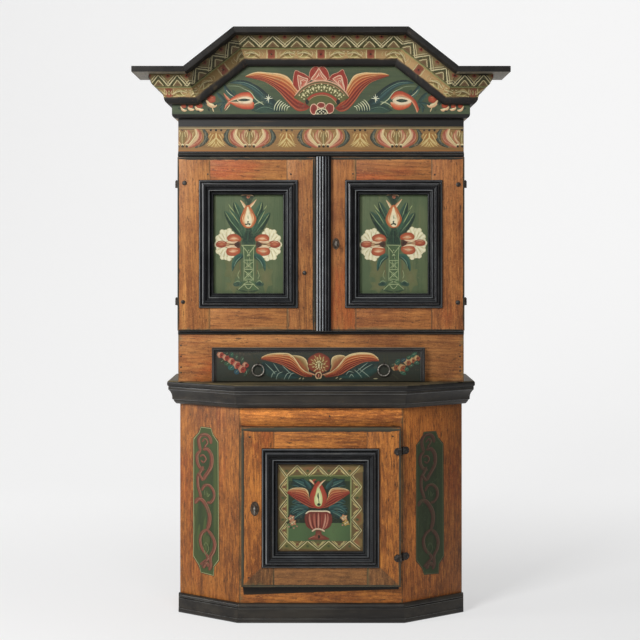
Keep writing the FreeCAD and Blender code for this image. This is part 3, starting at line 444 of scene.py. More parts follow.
@dataclass(frozen=True)
class Iron(Finish):
    """Forged iron, blackened, with a little dry rust and bright rubbed places."""

    name: str = "ForgedIron"
    dark: str = "#2a2724"
    rust: str = "#4a3023"
    shine: str = "#6b6762"
    bare: float = 0.4

    def mixed(self) -> bpy.types.Material:
        """Hammered black iron: dents 4 to 8 mm across and rust in the hollows.

        Returns:
            The material.
        """
        t = Tree(self.name)
        dents = t.noise(t.place, 170.0, 3.0)
        grit = t.noise(t.place, 900.0, 5.0, 0.7)
        colour = t.mix(t.step(grit, 0.5, 0.75), self.dark, self.rust)
        colour = t.over(colour, self.shine, dents, 0.45, 0.65, self.bare)
        rough = t.math("MULTIPLY_ADD", grit, 0.3, 0.34)
        return t.close(colour, rough, t.math("ADD", dents, t.math("MULTIPLY", grit, 0.25)), 0.0006, Metallic=0.75)


@dataclass(frozen=True)
class Backdrop(Finish):
    """Matt studio paper: its own pale tone, and the object's soft shadow."""

    name: str = "StudioPaper"
    tone: str = "#efefef"
    share: float = 0.48

    def mixed(self) -> bpy.types.Material:
        """Paper that shows one pale tone to the camera and still takes a shadow.

        Returns:
            The material.
        """
        t = Tree(self.name)
        grain = t.noise(t.place, 700.0, 2.0)
        bump = t.put("Bump", {"Height": grain, "Distance": 0.0001})
        paper = t.put("BsdfDiffuse", {"Color": linear("#e9e9e9"), "Normal": bump.outputs[0]})
        x, y, _ = t.put("SeparateXYZ", {0: t.place}).outputs
        # the far paper gets less lamp light than the floor
        rise = t.math("MULTIPLY_ADD", t.step(y, -0.2, 2.4), 0.44, 1.105)
        glow = t.put("Emission", {"Color": linear(self.tone), "Strength": t.math("MULTIPLY_ADD", x, 0.034, rise)})
        rays = t.put("LightPath").outputs
        seen = t.math("MAXIMUM", rays["Is Camera Ray"], rays["Is Glossy Ray"])
        seen = t.math("MULTIPLY", t.math("MAXIMUM", seen, rays["Is Transmission Ray"]), 1.0 - self.share)
        part = t.put("MixShader", {0: seen, 1: paper.outputs[0], 2: glow.outputs[0]})
        t.put("OutputMaterial", {"Surface": part.outputs[0]})
        return t.material


PINE = Pine()
BASE_PINE = Pine("StainedPineBase", "#b06c2e", "#7e461c", "#3a200e", "#65603f", 0.55, 0.65, "#ca8238", "#94481c",
    0.44)
# painted light: the base front frame's stain is brightened above 0.70 m, on its top rail
PAINTED_LIGHT_FRAME_PINE = replace(BASE_PINE, name="StainedPineFramePaintedLight", painted_light_ramp=(2, 0.68, 0.72, 1.75))
BARE = Pine("BarePine", "#b89a74", "#94764f", "#6d5238", "#6f6656", 0.35, 0.4, "#c4a884", "#a07a50", 0.15)
BLACK = Distemper("BlackPaint", "#141312", "#1f1c19", "#5f4a36", 0.30, "#5c5a56", 0.30, streaks=0.10, reach=0.0022,
    rough=0.27, sheen=0.30)
FOOT_BLACK = replace(BLACK, name="WornBlackMoulding", ground="#1d1a17", second="#2b2721", worn=0.38)
# worn black arrises, painted lighter as a painted highlight too
BLACK_ARRIS_WEAR_AND_HIGHLIGHT = Distemper("RubbedBlackArrisPaintedHighlight", "#48494a", "#606262", "#3a3028", 0.55, "#8a8a86", 0.30, streaks=0.35,
    reach=0.0022, rough=0.22, sheen=0.6)
GLOSS_BLACK = Distemper("PolishedBlack", "#0b0b0c", "#141416", "#54432f", 0.16, "#3e3e3e", 0.22, streaks=0.10,
    reach=0.0022, rough=0.15, sheen=0.15)
# dust and painted light: a lighter black for moulding faces that look up or left
DUST_AND_PAINTED_LIGHT_BLACK = replace(GLOSS_BLACK, name="DustyMoulding", ground="#1b1c1e", second="#282a2b", sheen=0.24)
# worn arrises with a painted highlight, in a bright copy and a dimmed copy
WORN_ARRIS_PAINTED_HIGHLIGHT = Distemper("RubbedMoulding", "#5e6164", "#777b7e", "#2a2622", 0.50, "#96968f", 0.30, streaks=0.35,
    reach=0.0022, rough=0.2, sheen=0.6)
DIM_WORN_ARRIS_PAINTED_HIGHLIGHT = replace(WORN_ARRIS_PAINTED_HIGHLIGHT, name="DimmedMoulding", ground="#3c3e40", second="#4e5153", sheen=0.4)
ROOF_BLACK = Distemper("RoofBlack", "#171615", "#22201e", "#5f4a36", 0.25, "#4c4a46", 0.30, streaks=0.12,
    reach=0.0022, rough=0.5, sheen=0.16)
GREY_PINE = Pine("GreyedPine", "#77705f", "#5c5648", "#38332a", "#8b8674", 0.4, 0.5, "#857d6a", "#6a5a48")
# painted shade: the stain darkens towards the right
PAINTED_SHADE_RAIL_PINE = replace(PINE, name="StainedPineRailPaintedShade", painted_light_ramp=(0, -0.3, 0.45, 0.84))
# painted shade: a darker copy of the stain for the right door's frame
PAINTED_SHADE_PINE = replace(PINE, name="StainedPinePaintedShade", light="#a66a36", deep="#7c4620", flame="#b87a3e")
# painted shade: darker copies of the base stain for the canted faces, the right one darkening further towards the
# back
PAINTED_SHADE_RIGHT_CANTED_PINE = replace(BASE_PINE, name="StainedPineRightPaintedShade", light="#b2682c", deep="#7a431a", flame="#c27c36",
    painted_light_ramp=(0, 0.33, 0.49, 0.66))
PAINTED_SHADE_LEFT_CANTED_PINE = Pine("StainedPineCantPaintedShade", "#9c5f26", "#743f16", "#3c2210", "#62603a", 0.5, 0.6, "#b47234", "#88411a", 0.44)
WAIST_TOP = Distemper("WornBlackTop", "#3a3226", "#584e36", "#86694a", 0.45, "#7d765a", 0.5)
GREEN = Distemper("GreenGround", "#47553a", "#525c3f", "#857152", 0.22, "#39442f", 0.35, streaks=0.34,
    tinge="#66623f", rough=0.5)
NIGHT = Distemper("DarkGround", "#2e2d24", "#272c24", "#6e5840", 0.22, "#1c1b17", 0.35, tinge="#3c392c", rough=0.46)
LOWER_GREEN = Distemper("DeepGreenGround", "#2c3627", "#353d2b", "#5b4b33", 0.28, "#201f1b", 0.4, rough=0.5)
OLIVE = Distemper("OliveGround", "#414c34", "#3a4432", "#85714f", 0.22, "#2b3225", 0.3, streaks=0.30, tinge="#515a3c",
    rough=0.48)
FRIEZE_LEVELS = (
    (1.6262, "#8c5f33"), (1.6310, "#7f5f38"), (1.7030, "#2b231a"), (1.7045, "#84724e"),
    (1.7095, "#1a1612"), (1.7110, "#84724e"), (1.7125, "#131211"),
)
FRIEZE = Distemper("FriezePaint", "#221b15", "#1d1915", "#6e5238", 0.22, "#241f19", 0.2, FRIEZE_LEVELS, streaks=0.24,
    tinge="#6b4f30", rough=0.44)
CORNICE_LEVELS = ((0.0252, "#9c7e54"), (0.0470, "#3a3a22"), (0.0490, "#5e5238"))
CORNICE = Distemper("CornicePaint", "#151311", "#1e1b18", "#7a5a3e", 0.22, "#1c1916", 0.2, CORNICE_LEVELS, "out",
    streaks=0.22, tinge="#6d5c3c", rough=0.44)
# painted shade: darker cornice bands for the runs that lie in shade
PAINTED_SHADE_CORNICE = replace(CORNICE, name="CornicePaintedShade", zones=((0.0252, "#65512f"), (0.0470, "#1f1f15"), (0.0490, "#2a261a")))
IRON = Iron()
KEY_IRON = Iron("HandledIron", "#6a655e", "#5a4334", "#a8a39a", 0.75)
LOCK_IRON = Iron("BrownedIron", "#40362d", "#5c4030", "#6f6558", 0.5)
WORN_PINE = Pine("StainedPineWorn", "#8a5c32", "#634124", "#33200f", "#565638", 0.75, 0.8, "#986838", "#744424", 0.4)
PAPER = Backdrop()


# ---------------------------------------------------------------- boards taken from the frame


Chooser = Callable[[Vector, Vector], Finish]
CREASE = 0.45  # edges that turn more than this, in radians, are softened
SHORTEST = 3.2  # and only where they are longer than this many arris widths


@cache
def extent(node: str) -> tuple[float, float, float, float]:
    """Give a CAD node's least and greatest x, then z.

    Args:
        node: the node's name.

    Returns:
        The four numbers, in metres.
    """
    corners = [v.co for v in frame["nodes"][node].data.vertices]
    wide, tall = [c.x for c in corners], [c.z for c in corners]
    return min(wide), max(wide), min(tall), max(tall)


def solids(node: str) -> list[tuple[list[Vector], list[tuple[int, ...]]]]:
    """Part a CAD node's loose triangles into its closed solids.

    Args:
        node: the CAD node's name.

    Returns:
        For each solid its corners and its triangles.
    """
    mesh = frame["nodes"][node].data
    keys = [tuple(round(c * 1e5) for c in v.co) for v in mesh.vertices]
    unmatched: set = set()
    found, corners, faces, index = [], [], [], {}
    for polygon in mesh.polygons:
        ring = [keys[i] for i in polygon.vertices]
        for i, key in zip(polygon.vertices, ring):
            if key not in index:
                index[key] = len(corners)
                corners.append(mesh.vertices[i].co.copy())
        if len(set(ring)) > 2:
            faces.append(tuple(index[key] for key in ring))
        for pair in zip(ring, ring[1:] + ring[:1]):
            if pair[0] == pair[1]:
                continue
            if pair[::-1] in unmatched:
                unmatched.remove(pair[::-1])
            else:
                unmatched.add(pair)
        if not unmatched:
            found.append((corners, faces))
            corners, faces, index = [], [], {}
    return found


def dress(node: str, body: str, choose: Chooser | Finish, arris: float = 1.2,
        rubbed: Finish | None = None) -> bpy.types.Object:
    """Stand a copy with softened edges in a CAD node's place and finish its faces.

    Args:
        node: the CAD node's name.
        body: the body that it rides.
        choose: one finish, or what gives a finish from a face's middle and normal.
        arris: the width of the softened edges in millimetres.
        rubbed: the finish of the softened edges, if it isn't that of the faces beside them; it is worn paint with a
            painted highlight.

    Returns:
        The new object.
    """
    pick: Chooser = choose if callable(choose) and not isinstance(choose, Finish) else (lambda centre, normal: choose)
    whole = bmesh.new()
    layers = {name: whole.verts.layers.float_vector.new(name) for name in ("fibre", "board", "mid", "half")}
    shades: list[Finish] = []
    for number, (corners, faces) in enumerate(solids(node)):
        part = bmesh.new()
        made = [part.verts.new(c) for c in corners]
        for face in faces:
            try:
                part.faces.new([made[i] for i in face])
            except ValueError:
                continue
        bmesh.ops.dissolve_limit(part, angle_limit=math.radians(0.6), verts=part.verts[:], edges=part.edges[:])
        convex = [e for e in part.edges if len(e.link_faces) == 2 and e.is_convex]
        sharp = [e for e in convex if e.calc_face_angle(0.0) > CREASE and e.calc_length() > SHORTEST * arris * MM]
        soft = set()
        if arris and sharp:
            shape = {"offset_type": "OFFSET", "segments": 2, "profile": 0.6, "affect": "EDGES", "clamp_overlap": True}
            soft = set(bmesh.ops.bevel(part, geom=sharp, offset=arris * MM, **shape)["faces"])
        low = Vector([min(c[i] for c in corners) for i in range(3)])
        high = Vector([max(c[i] for c in corners) for i in range(3)])
        size = high - low
        dice = random.Random(f"{node}{number}")
        longest = max(range(3), key=lambda i: size[i])
        fibre = Vector([0.055 if i == longest else 1.0 for i in range(3)])
        shift = Vector([dice.uniform(-9, 9) for _ in range(3)])
        values = {"fibre": fibre, "board": shift, "mid": (low + high) / 2, "half": size / 2}
        copied = {v: whole.verts.new(v.co) for v in part.verts}
        for new in copied.values():
            for name, value in values.items():
                new[layers[name]] = value
        for face in part.faces:
            ridge = rubbed and face in soft and max(e.calc_length() for e in face.edges) > 0.05
            shade = rubbed if ridge else pick(face.calc_center_median(), face.normal)
            if shade not in shades:
                shades.append(shade)
            new_face = whole.faces.new([copied[v] for v in face.verts])
            new_face.material_index = shades.index(shade)
            new_face.smooth = True
        part.free()
    mesh = bpy.data.meshes.new(node + "_dressed")
    whole.to_mesh(mesh)
    whole.free()
    for shade in shades:
        mesh.materials.append(shade.material())
    piece = stand(node + "_dressed", mesh)
    only(piece)
    bpy.ops.object.shade_smooth_by_angle(angle=math.radians(28))
    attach(piece, body)
    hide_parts(node)
    log.info("dressed %s: %d faces, %d finishes", node, len(mesh.polygons), len(shades))
    return piece


def stand(name: str, data: bpy.types.ID) -> bpy.types.Object:
    """Make an object of a mesh, lamp or camera and put it in the scene.

    Args:
        name: the object's name.
        data: the mesh, lamp or camera.

    Returns:
        The object.
    """
    piece = bpy.data.objects.new(name, data)
    bpy.context.scene.collection.objects.link(piece)
    return piece


def only(piece: bpy.types.Object) -> None:
    """Make one object the only selected and active one.

    Args:
        piece: the object.
    """
    bpy.ops.object.select_all(action="DESELECT")
    piece.select_set(True)
    bpy.context.view_layer.objects.active = piece


# ---------------------------------------------------------------- brush painting


@dataclass(frozen=True)
class Brushwork(Finish):
    """Brushed ornament over a ground that shows through where the paint is rubbed."""

    ground: str
    rubbed: float = 0.45

    def mixed(self) -> bpy.types.Material:
        """Thin oil paint: the stroke's own colour, hair marks of the brush 1 to 2 mm apart, and losses.

        Returns:
            The material.
        """
        t = Tree("Brushwork")
        tint = t.put("Attribute", attribute_name="tint").outputs["Color"]
        hairs = t.noise(t.place, 620.0, 4.0, 0.65)
        losses = t.sum((t.noise(t.place, 210.0, 6.0, 0.7), 0.6), (t.noise(t.place, 34.0, 3.0), 0.4))
        colour = t.over(tint, self.ground, hairs, 0.52, 0.72, 0.42)
        colour = t.over(colour, self.ground, losses, 0.53, 0.62, self.rubbed)
        return t.close(colour, t.math("MULTIPLY_ADD", hairs, 0.25, 0.36), hairs, 0.0003, Specular_IOR_Level=0.28)


class Press(Enum):
    """How hard the brush is pressed along a stroke."""

    EVEN = "even"
    LEAF = "leaf"
    DROP = "drop"
    TAIL = "tail"

    def width(self, t: float) -> float:
        """Give the stroke's width at a place along it.

        Args:
            t: the place, from 0 to 1.

        Returns:
            The share of the full width.
        """
        if self is Press.EVEN:
            return min(1.0, 9 * t + 0.35, 9 * (1 - t) + 0.35)
        if self is Press.LEAF:
            return math.sin(math.pi * t) ** 0.75
        if self is Press.TAIL:
            t = 1 - t
        return math.sin(math.pi * min(1.0, t ** 0.6 + 1e-9)) ** 0.8


Point = tuple[float, float]


def rows_of(table: str) -> list[str]:
    """Part a table into its rows; a row goes on in the next line after a comma or a bar."""
    return re.sub(r"([,|])\n\s*", r"\1", table).strip().splitlines()


def points(text: str) -> list[Point]:
    """Read points, or longer groups of numbers, written as "x y, x y"."""
    return [tuple(float(n) for n in pair.split()) for pair in text.split(",")]


def between(a: Point, b: Point, count: int) -> list[Point]:
    """Give evenly spaced points from one point to another, both included."""
    return [(a[0] + (b[0] - a[0]) * k / (count - 1), a[1] + (b[1] - a[1]) * k / (count - 1)) for k in range(count)]


def ray(angle: float, *rings: tuple[float, float, float, float]) -> list[Point]:
    """Give the points at an angle in degrees on ovals, each given by its middle and its half sizes."""
    cos, sin = math.cos(math.radians(angle)), math.sin(math.radians(angle))
    return [(x + rx * cos, y + ry * sin) for x, y, rx, ry in rings]


def spline(t: float, a: float, b: float, c: float, d: float) -> float:
    """Give the value at t, from 0 at b to 1 at c, of a smooth curve through four values."""
    return 0.5 * (2 * b + (c - a) * t + (2 * a - 5 * b + 4 * c - d) * t * t + (3 * b - a - 3 * c + d) * t ** 3)


def curve(text: str | list[Point], steps: int = 5, closed: bool = False) -> list[Point]:
    """Draw a smooth line through points.

    Args:
        text: the points, or their text.
        steps: pieces from each point to the next.
        closed: whether the line returns to its start.

    Returns:
        The line's points; a closed line repeats its first.
    """
    knots = points(text) if isinstance(text, str) else text
    count = len(knots)
    found = []
    for i in range(count if closed else count - 1):
        around = [knots[(i + k) % count if closed else min(max(i + k, 0), count - 1)] for k in (-1, 0, 1, 2)]
        for step in range(steps):
            t = step / steps
            found.append(tuple(spline(t, *four) for four in zip(*around)))
    found.append(knots[0] if closed else knots[-1])
    return found


WING = "dcb088 d08c58 c46c3e b4502f a03a28 8c2e24 7c2a20 a8442f"
WING_HAIRS = "efdab4 e8b888 a8502c e3a878 983a22 d98a5c 74241a c46a48 641e18 b85a40 5c1c16 c87a5c"
CODE = re.compile("[0-9a-f]{6}")


@dataclass
class Painting:
    """Brush strokes laid on one face of the cupboard, gathered into one thin piece.

    Points are in drawing squares from the face's own corner; unit is a square's side in metres,
    and lay puts a point of the face, its height above it included, in its place.
    """

    name: str
    body: str
    ground: str
    unit: float
    lay: Lay
    rubbed: float = 0.45
    wobble: float = 0.10
    corners: list = field(default_factory=list)
    tints: list = field(default_factory=list)
    faces: list = field(default_factory=list)
    boxes: list = field(default_factory=list)
    spot: tuple = (0.0, 0.0, 0.0, False)
    # how far the strokes are dimmed: old varnish, and on some cornice runs painted shade too
    age: float = AGE

    def __post_init__(self) -> None:
        """Seed this painting's own unevenness of hand."""
        self.dice = random.Random(self.name)

    def at(self, x: float = 0.0, y: float = 0.0, turn: float = 0.0, mirror: bool = False) -> None:
        """Place the strokes that follow; turn is in degrees."""
        self.spot = (x, y, math.radians(turn), mirror)

    def sheet(self, rows: list[list[Point]], tints: list, streak: float = 0.07) -> None:
        """Lay one stroke, given as rows of points across it.

        Args:
            rows: the points.
            tints: a linear colour for each point across a row.
            streak: how far the colour wavers.
        """
        x0, y0, turn, mirror = self.spot
        cos, sin = math.cos(turn), math.sin(turn)
        side = -1 if mirror else 1
        placed = [[(x0 + side * x * cos - y * sin, y0 + side * x * sin + y * cos) for x, y in row] for row in rows]
        flat = [p for row in placed for p in row]
        low = [min(p[i] for p in flat) for i in (0, 1)]
        high = [max(p[i] for p in flat) for i in (0, 1)]
        under = [b[4] for b in self.boxes if b[0] < high[0] and b[2] > low[0] and b[1] < high[1] and b[3] > low[1]]
        layer = 1 + max(under, default=0)
        self.boxes.append((*low, *high, layer))
        base, width = len(self.corners), len(rows[0])
        lift = FIRST_COAT + NEXT_COAT * layer
        hairs = [1 + self.dice.uniform(-1, 1) * streak for _ in range(width)]
        for row in placed:
            tone = 1 + self.dice.uniform(-1, 1) * streak * 0.5
            for (x, y), tint, hair in zip(row, tints, hairs):
                self.corners.append(self.lay(x * self.unit, y * self.unit, lift))
                aged = [c * tone * hair * self.age * share for c, share in zip(tint, YELLOWED)]
                self.tints.append([min(1.0, c) for c in aged] + [1.0])
        for i in range(len(rows) - 1):
            for j in range(width - 1):
                a = base + i * width + j
                ring = [a, a + 1, a + width + 1, a + width]
                spots = [flat[k - base] for k in ring]
                area = sum(p[0] * q[1] - q[0] * p[1] for p, q in zip(spots, spots[1:] + spots[:1]))
                kept = [k for n, k in enumerate(ring) if (self.corners[k] - self.corners[ring[n - 1]]).length > 1e-6]
                if len(kept) > 2 and abs(area) > 1e-7:
                    self.faces.append(kept if area > 0 else kept[::-1])

    @staticmethod
    def blend(codes: str, count: int) -> list:
        """Spread a few colours over a number of points.

        Args:
            codes: the hex codes, with spaces between.
            count: the number of points.

        Returns:
            A linear colour for each point.
        """
        stops = [linear(c) for c in codes.split()]
        found = []
        for i in range(count):
            where = i / max(1, count - 1) * (len(stops) - 1)
            k = min(int(where), len(stops) - 2) if len(stops) > 1 else 0
            a, b = stops[k], stops[min(k + 1, len(stops) - 1)]
            found.append([p + (q - p) * (where - k) for p, q in zip(a, b)])
        return found

    def shaken(self, text: str | list[Point]) -> list[Point]:
        """Move points a little, as a hand does."""
        knots = points(text) if isinstance(text, str) else text
        return [tuple(c + self.dice.uniform(-1, 1) * self.wobble for c in p) for p in knots]

    def line(self, text: str | list[Point], width: float, codes: str, press: Press = Press.EVEN,
            across: int = 4) -> None:
        """Draw one stroke along a line.

        Args:
            text: the line's points.
            width: its full width in squares.
            codes: its colours from its left edge to its right, seen along it.
            press: how the brush is pressed.
            across: how many points lie across it.
        """
        path = curve(self.shaken(text))
        spread = [1 - 2 * k / (across - 1) for k in range(across)]
        rows = []
        for i, (x, y) in enumerate(path):
            back, on = path[max(0, i - 1)], path[min(len(path) - 1, i + 1)]
            dx, dy = on[0] - back[0], on[1] - back[1]
            length = math.hypot(dx, dy) or 1.0
            half = max(0.02, width * press.width(i / (len(path) - 1)) / 2)
            aside, up = dy / length * half, dx / length * half
            rows.append([(x - aside * share, y + up * share) for share in spread])
        self.sheet(rows, self.blend(codes, across))

    def loft(self, one: str, other: str, codes: str, across: int = 13, streak: float = 0.16) -> None:
        """Fill between two lines with streaked colour that runs along them.

        Args:
            one: the first line's points.
            other: the second line's, in the same direction.
            codes: the colours from the first line to the second.
            across: how many points lie between them.
            streak: how far the colour wavers.
        """
        first, second = curve(self.shaken(one), 6), curve(self.shaken(other), 6)
        count = max(len(first), len(second))
        pick = lambda line, i: line[round(i / (count - 1) * (len(line) - 1))]
        rows = [between(pick(first, i), pick(second, i), across) for i in range(count)]
        self.sheet(rows, self.blend(codes, across), streak)

    def blob(self, outline: str | list[Point], codes: str, middle: Point | None = None, steps: int = 4) -> None:
        """Fill a closed outline.

        Args:
            outline: its points.
            codes: the colours from its middle to its rim.
            middle: where they start, if not in the middle of the points.
            steps: pieces from each point to the next.
        """
        rim = curve(self.shaken(outline), steps, closed=True)
        middle = middle or tuple(sum(p[i] for p in rim[:-1]) / (len(rim) - 1) for i in (0, 1))
        self.sheet([between(middle, point, 6) for point in rim], self.blend(codes, 6), 0.05)

    def polygon(self, rim: list[Point], codes: str) -> None:
        """Fill a straight-edged outline with colours from its middle to its rim."""
        middle = tuple(sum(p[i] for p in rim) / len(rim) for i in (0, 1))
        self.sheet([between(middle, point, 5) for point in rim + rim[:1]], self.blend(codes, 5), 0.04)

    def oval(self, x: float, y: float, rx: float, ry: float, codes: str, turn: float = 0.0, ruffle: float = 0.0,
            sides: int = 8) -> None:
        """Dab an oval.

        Args:
            x: its middle across.
            y: its middle's height.
            rx: half its width.
            ry: half its height.
            codes: the colours from its middle to its rim.
            turn: how far it is turned, in degrees.
            ruffle: how far its rim goes in and out.
            sides: how many points its rim has.
        """
        cos, sin = math.cos(math.radians(turn)), math.sin(math.radians(turn))
        rim = []
        for i in range(sides):
            angle = 2 * math.pi * i / sides
            reach = 1 + (ruffle if i % 2 else -ruffle)
            a, b = rx * reach * math.cos(angle), ry * reach * math.sin(angle)
            rim.append((x + a * cos - b * sin, y + a * sin + b * cos))
        self.blob(rim, codes, steps=2 if sides > 8 else 3)

    def dots(self, text: str, radius: float, code: str) -> None:
        """Dot small round touches."""
        for x, y in points(text):
            self.oval(x, y, radius, radius, code, sides=6)

    def wing(self, top: str, bottom: str, hair: float = 0.62, codes: str = WING) -> None:
        """Sweep a wing from its tip, pale above and red below, with hair streaks along it.

        Args:
            top: the upper edge, from the tip.
            bottom: the lower edge, from the tip.
            hair: how wide a streak is.
            codes: the colours from the upper edge to the lower.
        """
        self.loft(top, bottom, codes, 19, 0.17)
        a, b = curve(top, 6), curve(bottom, 6)
        for number, code in enumerate(WING_HAIRS.split()):
            share = 0.03 + 0.083 * number
            pairs = [(a[int(i / 9 * (len(a) - 1))], b[int(i / 9 * (len(b) - 1))]) for i in range(10)]
            path = [tuple(p[k] * (1 - share) + q[k] * share for k in (0, 1)) for p, q in pairs]
            self.line(path[number % 3 // 2 : 10 - number % 2], hair, code, Press.LEAF)

    def both(self, x: float, table: str) -> None:
        """Lay a table's strokes from one place to the right and mirrored to the left.

        Args:
            x: the place.
            table: the strokes.
        """
        for mirror in (False, True):
            self.at(x, 0, mirror=mirror)
            self.draw(table)

    def draw(self, table: str, **colours: str) -> None:
        """Lay the strokes of a table, one kind of touch to a row.

        A row reads "kind numbers xCOUNT colours | part | part", and goes on in the next line after a
        comma or a bar. A part is the points of one touch, with its width before a colon where the
        parts differ; the two parts of a loft or a wing are its edges, and an oval has its middle and
        its half sizes. The numbers are a line's width, a blob's middle, a loft's streak, an oval's
        turn and ruffle, a dot's radius and a wing's hair; the count is that of the same function.

        Args:
            table: the rows.
            colours: colours that stand in the table by name.
        """
        for row in rows_of(table.format(**colours)):
            head, *parts = row.split("|")
            kind, *words = head.split()
            codes = " ".join(word for word in words if CODE.fullmatch(word))
            count = sum(int(word[1:]) for word in words if word[0] == "x")
            numbers = [float(word) for word in words if word[0] != "x" and not CODE.fullmatch(word)]
            if kind == "loft":
                self.loft(*parts, codes, count or 13, *numbers)
            elif kind == "wing":
                self.wing(*parts, *numbers, **({"codes": codes} if codes else {}))
            elif kind == "dots":
                self.dots(*parts, *numbers, codes)
            for part in parts if kind not in ("loft", "wing", "dots") else ():
                width, _, line = part.rpartition(":")
                if kind == "blob":
                    self.blob(part, codes, tuple(numbers) or None, count or 4)
                elif kind == "oval":
                    self.oval(*map(float, part.split()), codes, *(numbers or (0.0, 0.0)), count or 8)
                else:
                    self.line(line, float(width or numbers[0]), codes, Press(kind), count or 4)

    def done(self) -> bpy.types.Object:
        """Make the piece, let it ride and give it its finish.

        Returns:
            The painting's object.
        """
        mesh = bpy.data.meshes.new(self.name)
        mesh.from_pydata(self.corners, [], self.faces)
        colours = mesh.attributes.new("tint", "FLOAT_COLOR", "POINT")
        colours.data.foreach_set("color", [c for tint in self.tints for c in tint])
        mesh.validate()
        mesh.polygons.foreach_set("use_smooth", [True] * len(mesh.polygons))
        mesh.materials.append(Brushwork(self.ground, self.rubbed).material())
        piece = stand(self.name, mesh)
        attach(piece, self.body)
        log.info("painted %s: %d strokes, %d faces", self.name, len(self.boxes), len(self.faces))
        return piece


def front(x: float, y: float, z: float) -> Lay:
    """Give the placing for a face that looks to the front, from its own corner."""
    return lambda right, up, lift: Vector((x + right, y - lift, z + up))


# ---------------------------------------------------- the sub-assemblies, each below its tables for Painting.draw


# widths and middle lines of the red scrolls on a canted face, from the top
SCROLLS = """
3.6: 7.3 124.8,5.6 131.5,5.4 137,8.2 141,13.2 141.6,16.5 138.6,17.6 133
2: 15.4 129,12.4 126.8,11.4 130,14 134,11.6 137.6,8.6 134
3.9: 9.4 126.6,14 127.4,17.6 122.6,18.4 116,17.4 109.6,14.8 104.6,12.2 100.6,9.8 95.8
3.4: 7.3 125,4 121,3.6 114.6,6 108.8,11 106.2
1.8: 6.4 119.4,9.6 121,12.4 117.4,10 113.8,7.6 115.6
3.2: 9.6 110,7.2 104,4.6 99.6,4.6 90,6.4 83,7.8 77.8
2.6: 5 103,7.6 98.6,9.6 95.4
3: 8.5 85.4,11 90.6,16 91.4,20.2 86,20.4 79.4,17 74.2,13.6 74.6
4.2: 1.6 71.6,3.8 75.6,7.4 76.6,11.2 73.4,14.6 67,16.2 60.6,15.8 53,14 47.2
3.2: 14 47.4,9 43.2,6.6 36.6,8.2 28.4,12.4 23
3.6: 14 47.4,19 41.6,21.4 34,20.4 26.4,17 19.6,17.4 12,15.6 6.6
3: 12 24,14.6 18.6,11.4 15,7 11
3.8: 9.6 8,12.6 13.6,15.6 10.6
"""


